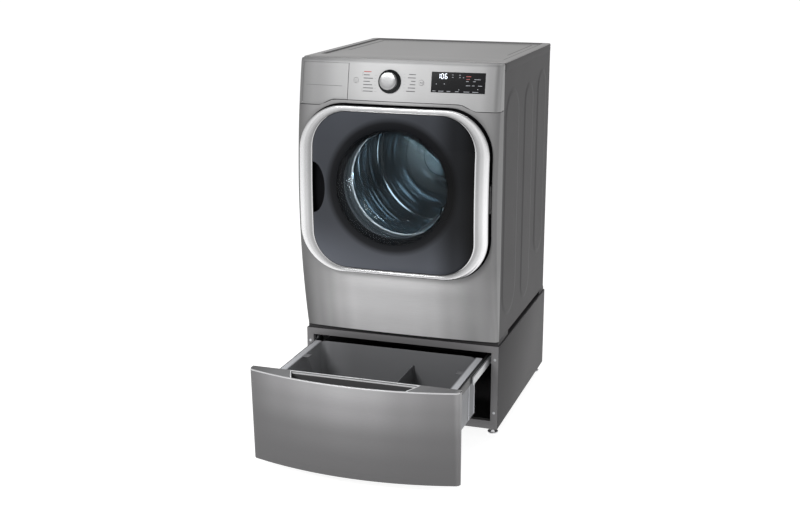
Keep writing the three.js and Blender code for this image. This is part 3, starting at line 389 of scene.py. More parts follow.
# Painted reflection and shade: the glass is lighter to the left and low down, and near black on the
# right.
paint_light_bands(LOOK["glass"], [(-300, 0.46), (-150, 0.59), (0, 0.60), (130, 0.46), (230, 0.11), (300, 0.015)],
       [(628, 0.0), (820, 1.0), (1188, 1.0)],
       [(-300, 1.0), (-150, 1.0), (0, 1.0), (130, 0.9), (230, 0.26), (300, 0.03)])
# Painted highlight and shade on the front panel: a bright upright band across the middle of the lower
# panel, darker towards the sides and darker above it.
paint_light_bands(LOOK["graphite"],
       [(-368, 0.11), (-306, 0.30), (-262, 0.46), (-218, 0.68), (-160, 0.92), (-60, 1.0), (60, 1.0),
        (131, 0.92), (200, 0.68), (290, 0.43), (368, 0.29)],
       [(369, 1.0), (450, 0.86), (560, 0.56), (660, 0.0)],
       [(-368, 0.15), (-300, 0.27), (0, 0.44), (300, 0.26), (368, 0.21)])
# Painted shade on the lid: lighter on the left, darker towards the right.
paint_light_bands(LOOK["lid"], [(-368, 1.0), (0, 0.92), (300, 0.78), (368, 0.78)])
# Painted shade inside the bin: the inner walls are much darker than the flanges and outer walls, with a
# painted highlight towards the left inner wall.
paint_light_bands(LOOK["bin"], [(-330, 1.0), (-303, 1.0), (-297, 0.38), (-250, 0.27), (-160, 0.21), (297, 0.21),
                     (303, 1.0), (330, 1.0)])
# Painted shade in the drum: much darker at the mouth and at the back, along the drum's axis.
paint_light_bands(LOOK["drum"], [(-60, 0.12), (-26, 0.12), (-14, 1.0), (400, 1.0), (420, 0.13), (460, 0.08)],
       axis="Y")
# Painted highlight on the fascia: brightest just left of the middle, darker towards both ends, with a
# lighter stripe at the right-hand corner.
paint_light_bands(LOOK["silver"], [(-368, 0.36), (-300, 0.53), (-200, 0.78), (-100, 0.96), (-20, 1.0),
                        (100, 0.88), (200, 0.80), (290, 0.72), (340, 0.54), (354, 0.42),
                        (366, 0.66), (368, 0.66)])
# Painted highlight and shade on the drawer front: brightest at the top middle, darker towards the sides
# and much darker towards the bottom, with a lighter stripe at the right-hand corner.
paint_light_bands(LOOK["drawer_steel"], [(-370, 0.42), (-250, 0.68), (-130, 0.86), (-20, 1.0), (80, 0.94),
                              (200, 0.70), (300, 0.57), (350, 0.54), (366, 0.80), (370, 0.80)],
       [(31, 0.0), (90, 0.04), (180, 0.18), (280, 0.62), (350, 0.96), (364, 1.0)],
       [(-370, 0.28), (-355, 0.31), (355, 0.31), (366, 0.42), (370, 0.42)])
# Painted highlights and shade on the door ring: across it a bright outer edge, a darker band and a
# bright inner lip; and lighter towards the right.
paint_light_bands(LOOK["ring"], [
    (0.0, 0.70), (0.10, 1.0), (0.24, 0.92), (0.50, 0.62), (0.80, 0.40), (0.88, 0.42), (0.94, 0.90),
    (0.97, 0.80), (1.0, 0.40)], axis="Y", source="UV", unit=1.0)
paint_light_bands(LOOK["ring"], [(-347, 0.92), (200, 0.92), (347, 1.0)])


# ---- mesh helpers ----
def placed(name, data, location=(0, 0, 0), rotation=(0, 0, 0)):
    """A new object in the scene."""
    made = bpy.data.objects.new(name, data)
    made.location = location
    made.rotation_euler = rotation
    bpy.context.scene.collection.objects.link(made)
    return made


def finish_piece(bm, name, look, body, slot, stands_for=(), sharp=35.0, thickness=0.0, bevel=0.0):
    """Makes an object of bm, shades, thickens and edges it, and puts it on its body."""
    made = placed(name, bpy.data.meshes.new(name))
    bm.to_mesh(made.data)
    bm.free()
    made.data.materials.append(LOOK[look])
    if thickness:
        shell = made.modifiers.new("thickness", "SOLIDIFY")
        shell.thickness = thickness * MM
        shell.offset = -1.0
    if bevel:
        edge = made.modifiers.new("edges", "BEVEL")
        edge.width = bevel * MM
        edge.segments = 2
        edge.limit_method = "ANGLE"
        edge.angle_limit = math.radians(40)
    if made.modifiers:
        flat = made.data
        shaped = made.evaluated_get(bpy.context.evaluated_depsgraph_get())
        made.data = bpy.data.meshes.new_from_object(shaped)
        made.modifiers.clear()
        bpy.data.meshes.remove(flat)
    made.data.shade_smooth()
    made.data.set_sharp_from_angle(angle=math.radians(sharp))
    if isinstance(body, tuple):
        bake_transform(made)
    else:
        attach(made, body)
    if stands_for:
        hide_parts(*stands_for)
    return made


class Build:
    """Collects points and faces for one mesh."""

    def __init__(self):
        self.verts = []
        self.faces = []

    def sheet(self, rows, wrap_u=False, wrap_v=False, skip=None):
        """Faces between neighbouring rows of points."""
        base = len(self.verts)
        width = len(rows[0])
        for row in rows:
            self.verts.extend(row)
        for j in range(len(rows) if wrap_v else len(rows) - 1):
            below = (j + 1) % len(rows)
            for i in range(width if wrap_u else width - 1):
                if skip and skip(i, j):
                    continue
                side = (i + 1) % width
                self.faces.append([base + j * width + i, base + j * width + side,
                                   base + below * width + side, base + below * width + i])
        return self

    def cap(self, loop):
        base = len(self.verts)
        self.verts.extend(loop)
        self.faces.append(list(range(base, base + len(loop))))
        return self

    def moved(self, place):
        self.verts = [place(*v) for v in self.verts]
        return self

    def make(self, name, look, body, slot, stands_for=(), facing=None, **finish):
        """A piece from the points in the machine frame. facing is the way an open sheet looks."""
        bm = bmesh.new()
        corners = [bm.verts.new(metres(*v)) for v in self.verts]
        for face in self.faces:
            ring = [corners[i] for i in face]
            if bm.faces.get(ring) is None:
                bm.faces.new(ring)
        bmesh.ops.remove_doubles(bm, verts=bm.verts, dist=0.02 * MM)
        bmesh.ops.dissolve_degenerate(bm, edges=bm.edges, dist=0.005 * MM)
        bmesh.ops.recalc_face_normals(bm, faces=bm.faces)
        if facing and sum(f.normal.dot(Vector(facing)) * f.calc_area() for f in bm.faces) < 0:
            bmesh.ops.reverse_faces(bm, faces=bm.faces)
        return finish_piece(bm, name, look, body, slot, stands_for, **finish)


def rounded_loop(half_w, half_h, radii, centre=(0, 0), straight=8, corner=12):
    """Points around a rectangle with rounded corners. radii run right-top, left-top, left-bottom,
    right-bottom, and the first point is at the bottom of the right side."""
    if not hasattr(radii, "__len__"):
        radii = (radii,) * 4
    cu, cv = centre
    arcs = []
    for k, (r, su, sv) in enumerate(zip(radii, (1, -1, -1, 1), (1, 1, -1, -1))):
        turns = steps(k * math.pi / 2, (k + 1) * math.pi / 2, corner)
        arcs.append([(cu + su * (half_w - r) + r * math.cos(a), cv + sv * (half_h - r) + r * math.sin(a))
                     for a in turns])
    points = []
    for k, arc in enumerate(arcs):
        points += line(arcs[k - 1][-1], arc[0], straight) + arc[:-1]
    return points


def round_points(loop, radius):
    """The point of a circle round the drum's axis in the same direction as each point of loop."""
    found = []
    for x, z in loop:
        share = radius / math.hypot(x, z - DRUM_Z)
        found.append((x * share, DRUM_Z + (z - DRUM_Z) * share))
    return found


def round_ring(loop, radius, y):
    return [(x, y, z) for x, z in round_points(loop, radius)]


def between(a, b, t):
    return [(mix(p[0], q[0], t), mix(p[1], q[1], t)) for p, q in zip(a, b)]


def on_skin(loop, inset):
    return [(x, front_y(x, z, inset), z) for x, z in loop]


def loft(rows, skip=None):
    """A Build of rows of points that each close on themselves."""
    return Build().sheet(rows, wrap_u=True, skip=skip)


def turned(profile, x=0.0, z=DRUM_Z, sides=96, wrap=False):
    """A Build of a profile of (radius, y) turned about the Y direction through (x, z)."""
    turns = steps(0, 2 * math.pi, sides)[:-1]
    rows = [[(x + r * math.cos(a), y, z + r * math.sin(a)) for a in turns] for r, y in profile]
    return Build().sheet(rows, wrap_u=True, wrap_v=wrap)


def eased(points, per=4):
    """A smooth line of (u, v) points through the given ones."""
    ends = [points[0], *points, points[-1]]
    found = []
    for near in zip(ends, ends[1:], ends[2:], ends[3:]):
        for t in steps(0, 1, per)[:-1]:
            found.append([0.5 * (2 * b + (c - a) * t + (2 * a - 5 * b + 4 * c - d) * t * t
                                 + (3 * b - a - 3 * c + d) * t ** 3) for a, b, c, d in zip(*near)])
    return [*found, points[-1]]


def fascia_frame(x, z=DIAL_Z):
    """Places a shape drawn about the origin, facing -Y, square to the sloping fascia at x."""
    turn = Matrix.Rotation(-TILT, 3, "X")
    seat = Vector((x, front_y(x, z), z))
    return lambda a, b, c: tuple(turn @ Vector((a, b, c)) + seat)


def refined(node, look, body, slot, bevel=0.6, sharp=35.0):
    """A copy of a CAD node with flat faces merged and its edges rounded, standing for it."""
    bm = bmesh.new()
    bm.from_mesh(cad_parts[node].data)
    bmesh.ops.remove_doubles(bm, verts=bm.verts, dist=0.01 * MM)
    bmesh.ops.dissolve_limit(bm, angle_limit=math.radians(0.6), verts=bm.verts, edges=bm.edges)
    finish_piece(bm, node + "_part", look, body, slot, (node,), sharp=sharp, bevel=bevel)


def dress(node, look):
    """A CAD node that stays in view gets a material."""
    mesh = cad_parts[node].data
    for index in range(len(mesh.materials)):
        mesh.materials[index] = LOOK[look]
    if not mesh.materials:
        mesh.materials.append(LOOK[look])


# ---- cabinet front ----
STRAIGHT = 14
ARC = 14
FACE_HALF = HALF - 11.5


def face_frame(inner, half_w, low, high):
    """The outer edge that goes with a rounded loop: its arcs become square corners. high is a
    function of x."""
    side = STRAIGHT + ARC
    corners = ((half_w, high(half_w)), (-half_w, high(half_w)), (-half_w, low), (half_w, low))

    def snap(k, x, z):
        return ((half_w, z), (x, high(x)), (-half_w, z), (x, low))[k % 4]

    found = []
    for k, corner in enumerate(corners):
        first = inner[k * side + STRAIGHT]
        last = inner[(k + 1) * side % len(inner)]
        on_side = inner[k * side:k * side + STRAIGHT] + line(first, corner, ARC // 2)
        found += [snap(k, *spot) for spot in on_side]
        found += [snap(k + 1, *spot) for spot in line(corner, last, ARC // 2)]
    return found


def opening_loop(grow):
    w, h, r = DOOR_HALF
    return rounded_loop(w + grow, h + grow, r + grow, (0, DOOR_Z), STRAIGHT, ARC)


def front_skin():
    def top(x):
        return seam(x) - 1.3

    lip = opening_loop(DOOR_GAP + 1.6)
    edge = face_frame(lip, FACE_HALF, MACHINE_Z0, top)
    rows = [on_skin(between(edge, lip, t), 0) for t in (0, 0.35, 0.7, 1)]
    for more, inset in ((0.5, 0.5), (0, 1.7), (0, 4.0)):
        rows.append(on_skin(opening_loop(DOOR_GAP + more), inset))
    built = loft(rows)
    heights = sorted({round(z, 4) for x, z in edge if x == FACE_HALF})
    bend = math.asin((FACE_HALF - (HALF - CORNER_R)) / CORNER_R)
    for side in (-1, 1):
        rows = []
        for z in heights:
            row = []
            for a in steps(bend, math.pi / 2, 7):
                x = HALF - CORNER_R + CORNER_R * math.sin(a)
                row.append((side * x, front_y(x, z), z))
            row.append((side * HALF, SKIN_BACK, z))
            row.append((side * (HALF - 6), SKIN_BACK, z))
            rows.append(row)
        built.sheet(rows)
    built.make(
        "front_skin", "graphite", "cabinet", "panel_silver", ("front_panel",), facing=FRONT,
        thickness=0.9)


def door_recess():
    """Pan that the door closes into, with the round mouth of the drum. Its wall is near black as painted
    shade, and its floor dark grey, partly painted shade of the recess.
    """
    floor = opening_loop(-RECESS_SHELF)
    rows = [on_skin(opening_loop(DOOR_GAP - less), inset)
            for less, inset in ((0.2, 3.0), (0.2, RECESS - 1.5), (1.5, RECESS))]
    rows.append(on_skin(floor, RECESS))
    loft(rows).make(
        "recess_wall", "recess", "cabinet", "panel_silver", ("front_panel",), facing=FRONT,
        thickness=0.8)
    mouth = round_points(floor, MOUTH_R + 8)
    rows = [on_skin(between(floor, mouth, t), RECESS) for t in (0, 0.3, 0.65, 1)]
    for more, deeper in ((2, 1.5), (0, 8)):
        rows.append(on_skin(round_points(floor, MOUTH_R + more), RECESS + deeper))
    loft(rows).make(
        "door_recess", "pan", "cabinet", "panel_silver", ("front_panel",), facing=FRONT,
        thickness=0.8)


def seam_backing():
    """Near-black strips a little way behind the joints of the fascia: painted shade in the gaps."""
    xs = steps(-HALF + 3, HALF - 3, 60)
    rows = [[(x, front_y(x, seam(x), 1.3), seam(x) + dz) for x in xs] for dz in (-3, 3)]
    built = Build().sheet(rows)
    rows = [[(x, front_y(x, z, 2.6), z) for x in (DISPENSER[1] - 4, DISPENSER[1] + 4)]
            for z in steps(seam(DISPENSER[1]), DISPENSER[2], 12)]
    built.sheet(rows)
    built.make("seam_backing", "recess", "cabinet", "black_plastic", facing=FRONT, thickness=0.6)


def lid_joint():
    """Near-black strip in the joint between the fascia's top and the lid: painted shade in the gap."""
    rows = [[(x, y, FASCIA_TOP - 1.0) for x in steps(-HALF + 8, HALF - 8, 8)]
            for y in (LID_FRONT - 3.2, LID_FRONT - 0.2)]
    Build().sheet(rows).make(
        "lid_joint", "recess", "cabinet", "black_plastic", facing=UP, thickness=0.4)


def latch_slot():
    loop = rounded_loop(9, 16, 3, (-325, 900))
    Build().cap(on_skin(loop, RECESS - 0.3)).make(
        "latch_slot", "black", "cabinet", "black_plastic", facing=FRONT, thickness=0.25)


# ---- fascia ----
ROLL = (0.0, 0.25, 0.45, 0.65, 0.82, 1.0)
ROLL_DEPTH = 18
TOP_EDGE_R = 6
ROLL_Z = 1334
PRINT_LIFT = 0.12
BUTTON_PRINT_Y = -2.1
DIAL_PRINT_Y = -25.55


def fascia_columns():
    arcs = [HALF - CORNER_R + CORNER_R * math.sin(a) for a in quarter(7)]
    inner = [x for x in steps(-345, 345, 46) if abs(x - DISPENSER[1]) > 5 and abs(x - DISPLAY[0]) > 5
             and abs(x - DISPLAY[1]) > 5 and abs(x) < 349]
    exact = [DISPENSER[0], DISPENSER[1], DISPLAY[0], DISPLAY[1]]
    return sorted(inner + exact + arcs + [-x for x in arcs if abs(x - 352) > 1.2])


def roll_point(x, t):
    """The fascia's top edge rolls back from upright to level."""
    z0 = DISPENSER[2] + 0.3
    y0 = front_y(x, z0)
    ys = (y0, y0 + 2.4, y0 + 8, y0 + ROLL_DEPTH)
    zs = (z0, FASCIA_TOP - 1.2, FASCIA_TOP, FASCIA_TOP)
    weights = ((1 - t) ** 3, 3 * t * (1 - t) ** 2, 3 * t * t * (1 - t), t ** 3)
    y = sum(w * v for w, v in zip(weights, ys))
    z = sum(w * v for w, v in zip(weights, zs))
    return y, min(z, FASCIA_TOP - rounded_off(x, HALF, TOP_EDGE_R))


def fascia_skin():
    xs = fascia_columns()
    low_shares = (0, 0.33, 0.66, 1)
    heights = (DISPLAY[2], 1280, 1297, 1315, DISPLAY[3], 1341, DISPENSER[2])
    levels = [[(x, mix(seam(x) + 0.7, FASCIA_LEVEL, t)) for x in xs] for t in low_shares]
    levels += [[(x, z) for x in xs] for z in heights]
    rows = [[(x, front_y(x, seam(x), 5), seam(x) + 0.7) for x in xs]]
    rows += [on_skin(level, 0) for level in levels]
    display_row = 1 + len(low_shares)
    dispenser_rows = len(rows) - 1
    rows += [[(x, *roll_point(x, t)) for x in xs] for t in ROLL]
    rows.append([(x, LID_FRONT - 1.8, roll_point(x, 1)[1]) for x in xs])
    first, last, left, right = [xs.index(x) for x in (*DISPENSER[:2], *DISPLAY[:2])]

    def hole(i, j):
        if first <= i < last and j < dispenser_rows:
            return True
        return left <= i < right and display_row <= j < display_row + heights.index(DISPLAY[3])

    built = Build().sheet(rows, skip=hole)
    for edge in (0, -1):
        x = xs[edge]
        front = [row[edge] for row in rows[1:]]
        back = [(x, SKIN_BACK if z < ROLL_Z else LID_FRONT - 1.8, z) for _, _, z in front]
        built.sheet([front, back])
    built.make(
        "fascia_skin", "silver", "cabinet", "fascia_silver", ("control_fascia",),
        facing=(0, -1, 0.3), thickness=0.9)


def dispenser_skin():
    x0, x1, z1 = DISPENSER[0] + 0.8, DISPENSER[1] - 1.8, DISPENSER[2] - 0.8
    columns = steps(x0, x1, 22)
    rows = [on_skin([(x, mix(seam(x) + 0.8, z1, t)) for x in columns], 0) for t in steps(0, 1, 14)]
    stripe = [bar(x, 1270.2, 6.2, 1.5) for x in range(-338, -202, 6)]
    marks("dispenser_line", stripe, "print", body="dispenser", slot="fascia_silver")
    Build().sheet(rows).make(
        "dispenser_skin", "silver", "dispenser", "fascia_silver", ("dispenser_front",),
        facing=FRONT, thickness=2.0, bevel=0.3)


def display_pane():
    x0, x1, z0, z1 = DISPLAY
    middle = ((x0 + x1) / 2, (z0 + z1) / 2)
    loop = rounded_loop((x1 - x0) / 2 - 0.5, (z1 - z0) / 2 - 0.5, 2.0, middle, 10, 4)
    rows = [on_skin(between([middle] * len(loop), loop, t), 0) for t in (1, 0.8, 0.5, 0.2)]
    loft(rows).cap(rows[-1]).make(
        "display_pane", "display", "cabinet", "dark_glass", ("display_window",), facing=FRONT,
        thickness=2.0)


def marks(name, shapes, look, body="cabinet", slot="dark_glass"):
    """Thin printed shapes on the fascia, from outlines in X and Z."""
    built = Build()
    for shape in shapes:
        built.cap([(x, front_y(x, z) - PRINT_LIFT, z) for x, z in shape])
    built.make(name, look, body, slot, facing=FRONT, thickness=0.08)


def bar(x, z, width, height):
    return [(x, z), (x + width, z), (x + width, z + height), (x, z + height)]


def segments(digit, x, z, width, height, stroke):
    """The lit strokes of a seven-stroke digit."""
    half = (height - 3 * stroke) / 2

    def flat(level):
        return bar(x + stroke, z + level * (stroke + half), width - 2 * stroke, stroke)

    def upright(right, level):
        return bar(x + right * (width - stroke), z + stroke + level * (stroke + half), stroke, half)

    spots = {"a": flat(2), "b": upright(1, 1), "c": upright(1, 0), "d": flat(0), "e": upright(0, 0),
             "f": upright(0, 1), "g": flat(1)}
    return [spots[s] for s in {"0": "abcdef", "1": "bc", "6": "acdefg"}[digit]]


def display_marks():
    lit = []
    for digit, x in (("1", 146), ("0", 158.5), ("6", 171.5)):
        lit += segments(digit, x, 1309, 9.5, 18, 2.0)
    lit += [bar(156.3, z, 1.3, 1.6) for z in (1314, 1321)]
    marks("time_digits", lit, "lit")
    dim = [bar(x, z, w, 2.0) for z, spans in (
        (1267, ((131, 11), (152, 18), (181, 13), (211, 12), (240, 20), (271, 20))),
        (1288, ((247, 15), (268, 9), (289, 14))),
        (1322, ((197, 5), (222, 5))), (1314, ((197, 5), (222, 5), (235, 4))),
        (1302, ((247, 9), (271, 9))), (1309, ((275, 22),)),
    ) for x, w in spans]
    dim += [bar(x, z, 3, 3) for x, z in ((142, 1290), (170, 1291), (222, 1273), (287, 1276))]
    marks("display_symbols", dim, "dim")
    marks("display_warning", [bar(247, 1318, 16, 2.2), bar(247, 1309, 13, 1.8)], "print_red")


def fascia_prints():
    """Plain bars stand for the programme names on both sides of the dial."""
    left = []
    right = []
    for row in range(7):
        z = 1322 - row * 11.0
        left.append(bar(-121 if row else -120, z, (27, 22, 35, 24, 33, 37, 36)[row], 3.0))
        bend = 6 * (1 - abs(row - 3) / 3)
        left.append(bar(-80 + (0 if row else 2), z + 1.1, 10 - bend, 0.5))
    for row in range(6):
        z = 1318 - row * 11.3
        width = (24, 28, 16, 20, 26, 32)[row]
        right.append(bar(69 - width, z, width, 3.0))
        right.append(bar(26, z + 1.1, 8 - abs(row - 2.5), 0.5))
    marks("programme_names", left[2:] + right, "print")
    marks("programme_first", left[:1], "print_red")
    bracket = [bar(-125, 1256, 0.6, 63), bar(-125, 1319, 4, 0.6), bar(-125, 1256, 4, 0.6)]
    marks("programme_bracket", bracket, "print")


def dial():
    seat = fascia_frame(DIAL_X)
    for name, look, profile in (
        ("dial_skirt", "well", [(4, 8), (41, 4), (41, -3.4), (40.2, -4.6), (38.6, -5.6), (35, -7.2),
                                (31.2, -8.6), (30.6, -9.2)]),
        ("dial_cap", "dial", [(30.6, -7.5), (30.6, -22.2), (30.2, -23.4), (29.2, -24.4),
                              (27.6, -25.0), (20, -25.3), (10, -25.4), (0.3, -25.4)]),
    ):
        knob = turned(profile, 0, 0).moved(seat)
        knob.make(name, look, "dial", "fascia_silver", ("dial_knob",), sharp=50)
    mark = Build().cap([(x, DIAL_PRINT_Y, z) for x, z in bar(-0.7, 21.5, 1.4, 6.0)]).moved(seat)
    mark.make("dial_pointer", "print", "dial", "fascia_silver", facing=FRONT, thickness=0.1)


def push_button(x, body, node):
    seat = fascia_frame(x)
    profile = [(9.0, 4), (9.0, -1.1), (8.7, -1.6), (8.1, -1.8), (6, -1.95), (0.3, -1.95)]
    cap = turned(profile, 0, 0, 56).moved(seat)
    cap.make(body + "_cap", "silver", body, "fascia_silver", (node,), sharp=50)
    ring = turned(((9.9, 0.6), (9.9, -0.10), (9.2, -0.10), (9.2, 0.6)), 0, 0, 56).moved(seat)
    ring.make(body + "_ring", "print", "cabinet", "fascia_silver")


def button_marks():
    seat = fascia_frame(START_X)
    play = Build()
    for shape in (((-4.0, -3), (-4.0, 3), (0.4, 0)), bar(1.4, -3, 1.2, 6), bar(3.4, -3, 1.2, 6)):
        play.cap([(x, BUTTON_PRINT_Y, z) for x, z in shape])
    play.moved(seat).make("start_mark", "print", "start", "fascia_silver", facing=FRONT, thickness=0.1)
    seat = fascia_frame(POWER_X)
    turns = steps(0.6, 5.68, 20)
    sign = Build().sheet([[(r * math.sin(a), BUTTON_PRINT_Y, r * math.cos(a)) for a in turns]
                          for r in (4.4, 3.6)])
    sign.cap([(x, BUTTON_PRINT_Y, z) for x, z in bar(-0.4, 1.2, 0.8, 4.2)])
    sign.moved(seat).make("power_mark", "print", "power", "fascia_silver", facing=FRONT, thickness=0.1)


# ---- door ----
def door_ring():
    """Bright frame round the glass: a rounded outer edge, a band that dips in and a fine lip."""
    profile = [(0.015, -21.5), (0.0, -22.5), (0.0, -24), (0.02, -25.6), (0.06, -27.1), (0.12, -28.0),
               (0.20, -28.4), (0.32, -28.2), (0.48, -27.2), (0.64, -25.7), (0.78, -24.3), (0.87, -23.7),
               (0.905, -24.3), (0.935, -25.6), (0.965, -25.9), (0.99, -25.2), (1, -23.8), (1, -17)]
    rows = [on_skin(fine_door_loop(t), inset) for t, inset in profile]
    made = loft(rows).make(
        "door_ring", "ring", "door", "bright_trim", ("door_trim_ring",), facing=FRONT, sharp=60)
    # The place across the ring, kept in the UV, drives the ring's painted highlights and shade.
    layer = made.data.uv_layers.new(name="UVMap")
    shares = [ring_share(v.co.x / MM, v.co.z / MM) for v in made.data.vertices]
    for loop in made.data.loops:
        layer.data[loop.index].uv = (0.5, shares[loop.vertex_index])


def door_size(t):
    """Half width, half height and corner radius, from the door's own (0) to the glass's (1)."""
    return [mix(a, b, t) for a, b in zip(DOOR_HALF, GLASS_HALF)]


def ring_share(x, z):
    """How far a point lies from the ring's outer edge (0) to the edge of the glass (1)."""
    low, high = 0.0, 1.0
    for _ in range(14):
        t = (low + high) / 2
        w, h, r = door_size(t)
        over = math.hypot(max(abs(x) - (w - r), 0), max(abs(z - DOOR_Z) - (h - r), 0))
        if over < r:
            low = t
        else:
            high = t
    return (low + high) / 2


def fine_door_loop(t, grow=0.0):
    w, h, r = door_size(t)
    return rounded_loop(w + grow, h + grow, r + grow, (0, DOOR_Z), 16, 22)


def door_side():
    """Edge of the door behind the bright frame, near black as painted shade in the gap round the door,
    and its rear pan round the window.
    """
    rows = [on_skin(fine_door_loop(0, grow), inset) for grow, inset in
            ((-3, -21.4), (-0.9, -21.2), (-0.4, -20.4), (-0.4, -13), (-4, -11.6), (-4, 4.5))]
    loft(rows).make("door_edge", "recess", "door", "black_plastic", ("door_inner_frame",), sharp=50)
    rows = [on_skin(fine_door_loop(0, grow), inset) for grow, inset in ((-4, 4.5), (-5, 6.8), (-7.5, 8))]
    base = fine_door_loop(0, -9)
    ring = round_points(base, 203)
    rows += [on_skin(between(base, ring, t), 8) for t in (0, 0.12, 0.4, 0.7, 1)]
    rows += [round_ring(base, r, y) for r, y in ((200.5, -46), (199.5, -54))]
    loft(rows).make("door_pan", "pan", "door", "black_plastic", ("door_inner_frame",), sharp=50)


def door_backing():
    """Dark plate behind the glass with a well that narrows to the round window."""
    base = fine_door_loop(1, 2)
    hole = round_points(base, 222)
    inset = -DOOR_PROUD + 8.5
    shares = [*steps(0, 0.7, 9), 1]
    flat = [between(base, hole, t) for t in shares]
    rows = [on_skin(row, inset) for row in flat]
    for r, share in ((217, 0.06), (205, 0.55)):
        rows.append([(x, mix(front_y(x, z, inset), -62, share), z) for x, z in round_points(base, r)])
    rows += [round_ring(base, r, y) for r, y in ((193, -60.5), (190, -56))]

    def under_grip(i, j):
        if j >= len(flat) - 1:
            return False
        after = (i + 1) % len(base)
        corners = (flat[j][i], flat[j + 1][i], flat[j][after], flat[j + 1][after])
        return any(x + GLASS_HALF[0] < grip_edge(z, 1.0) for x, z in corners)

    loft(rows, under_grip).make("door_backing", "well", "door", "black_plastic", facing=FRONT)


def glass_half_width(z):
    w, h, r = PANE_HALF
    return w - rounded_off(z - DOOR_Z, h, r)


def grip_edge(z, grow=0.0):
    """How far the grip's opening reaches in from the glass's left edge."""
    share = (z - GRIP_Z) / (GRIP_HALF_H + grow)
    return (GRIP_DEPTH + grow) * math.sqrt(max(1 - share * share, 0))


def door_pane():
    _, h, r = PANE_HALF
    heights = [DOOR_Z - (h - r) - r * math.cos(a) for a in quarter(16)]
    heights += [GRIP_Z + GRIP_HALF_H * math.sin(b) for b in steps(-math.pi / 2, math.pi / 2, 30)]
    heights += [DOOR_Z + (h - r) + r * math.sin(a) for a in quarter(16)]
    heights = sorted({round(z, 3) for z in heights})
    rows = []
    for z in heights:
        half = glass_half_width(z)
        left = max(-half, -GLASS_HALF[0] + grip_edge(z))
        rows.append([(x, front_y(x, z, -DOOR_PROUD + 2.5), z) for x in steps(left, half, 40)])
    Build().sheet(rows).make(
        "door_pane", "glass", "door", "dark_glass", ("door_outer_glass",), facing=FRONT,
        thickness=4.0, bevel=0.8)


def grip_cup():
    """Finger cup behind the cut in the glass, near black as painted shade of the hollow."""
    rows = []
    for share, depth in ((1.0, -21.5), (1.0, -4), (0.97, 0.5), (0.90, 2.4)):
        ring = []
        for b in steps(-math.pi / 2, math.pi / 2, 28):
            z = GRIP_Z + (GRIP_HALF_H + 1.5) * share * math.sin(b)
            x = -GLASS_HALF[0] + (GRIP_DEPTH + 1.5) * share * math.cos(b)
            ring.append((x, front_y(x, z, depth), z))
        ring += [(-GLASS_HALF[0] + 1.5 * (1 - share), y, z) for _, y, z in reversed(ring[1:-1])]
        rows.append(ring)
    loft(rows).cap(rows[-1]).make("grip_cup", "recess", "door", "black_plastic", facing=FRONT)


def window_bowl():
    profile = eased([(188, -54), (183, -30), (178, 0), (171, 22), (160, 40), (142, 51), (112, 56.5),
                     (62, 59), (1, 60)])
    rim = [(198, -59.6), (198, -55)]
    turned([(193, -60.2), *rim, *profile], sides=128).make(
        "window_bowl", "clear", "door", "clear_glass", ("door_bowl_glass",), sharp=50)


# ---- drum and gasket ----
def drum():
    mouth = [(r, DRUM_FRONT + deep) for r, deep in (
        (208, 12), (208, 2), (210, 0), (264, 0), (272, 3), (281, 12), (284, 19))]
    wall = []
    for y, deep, wide in (*[(y, 3.6, 8.5) for y in range(104, 232, 18)], (282, 5, 12), (352, 5, 12),
                          (414, 6, 14), (484, 5, 12)):
        wall += [(284 - deep * (0.5 + 0.5 * math.cos(a)), y + wide * a / math.pi)
                 for a in steps(-math.pi, math.pi, 8)]
    wall.append((284, 532))
    back = [(r, DRUM_BACK - short) for r, short in (
        (282, 19), (274, 10), (262, 3), (250, 1), (214, 1), (206, 8), (196, 9), (110, 9), (100, 1),
        (52, 1), (46, 8), (1, 9))]
    turned([*mouth, *wall, *back], sides=128).make(
        "drum_inside", "drum", "drum", "drum_steel", ("drum_shell",), sharp=50)


def gasket():
    """Rubber bellows round the mouth."""
    front = eased([(217, -37), (213, -40), (203, -39.5), (198, -35), (198.5, -28), (202, -16),
                   (207.5, -8), (209, -2), (207, 5), (201.5, 11), (200, 16), (200, 45), (201, 66)])
    back = [(204, 66), (203.5, 18), (210, 9), (213, 2), (213.5, -6), (206, -17), (202.5, -29),
            (203.5, -35), (217, -34)]
    turned([*front, *back], wrap=True).make(
        "gasket_bellows", "rubber", "tub", "rubber_grey", ("door_gasket",), sharp=50)


# ---- cabinet shell and lid ----
PRESSINGS = ((56, 262, 437, 1262), (348, 490, 426, 1253), (560, 712, 552, 1278))
WALL_Z0 = MACHINE_Z0 + 0.2
WALL_Z1 = MACHINE_Z1 - 31
LID_EDGE_R = 3.5
LID_LIP_Z = 1354
LID_FIELDS = (  # half width, front, back, corner radius, depth below the top
    (338, 124, 754, 10, 0.2), (334, 150, 748, 8, 4.2), (331, 190, 744, 7, 4.4),
    (308.5, 268, 724, 6, 4.6), (306, 270, 722, 6, 4.6), (303, 300, 719.5, 5, 5), (200, 420, 640, 5, 5),
)


def raised(y, z):
    """Height of the pressed panels in the side walls."""
    height = 0.0
    for y0, y1, z0, z1 in PRESSINGS:
        r = (y1 - y0) / 2
        along = max(abs(z - (z0 + z1) / 2) - ((z1 - z0) / 2 - r), 0)
        inside = r - math.hypot(y - (y0 + y1) / 2, along)
        height = max(height, 2.2 * smooth((inside + 2) / 14))
    return height


def side_wall(side):
    ys = steps(SKIN_BACK + 1, CABINET_BACK - 3, 124)
    zs = steps(WALL_Z0, WALL_Z1, 150)
    rows = [[(side * (HALF - 1.6 + raised(y, z)), y, z) for y in ys] for z in zs]
    rows.insert(0, [(side * (HALF - 14), y, zs[0]) for y in ys])
    Build().sheet(rows).make(
        f"side_wall_{'left' if side < 0 else 'right'}", "side", "cabinet", "cabinet_grey",
        ("cabinet_shell",), facing=(side, 0, 0), thickness=0.9)


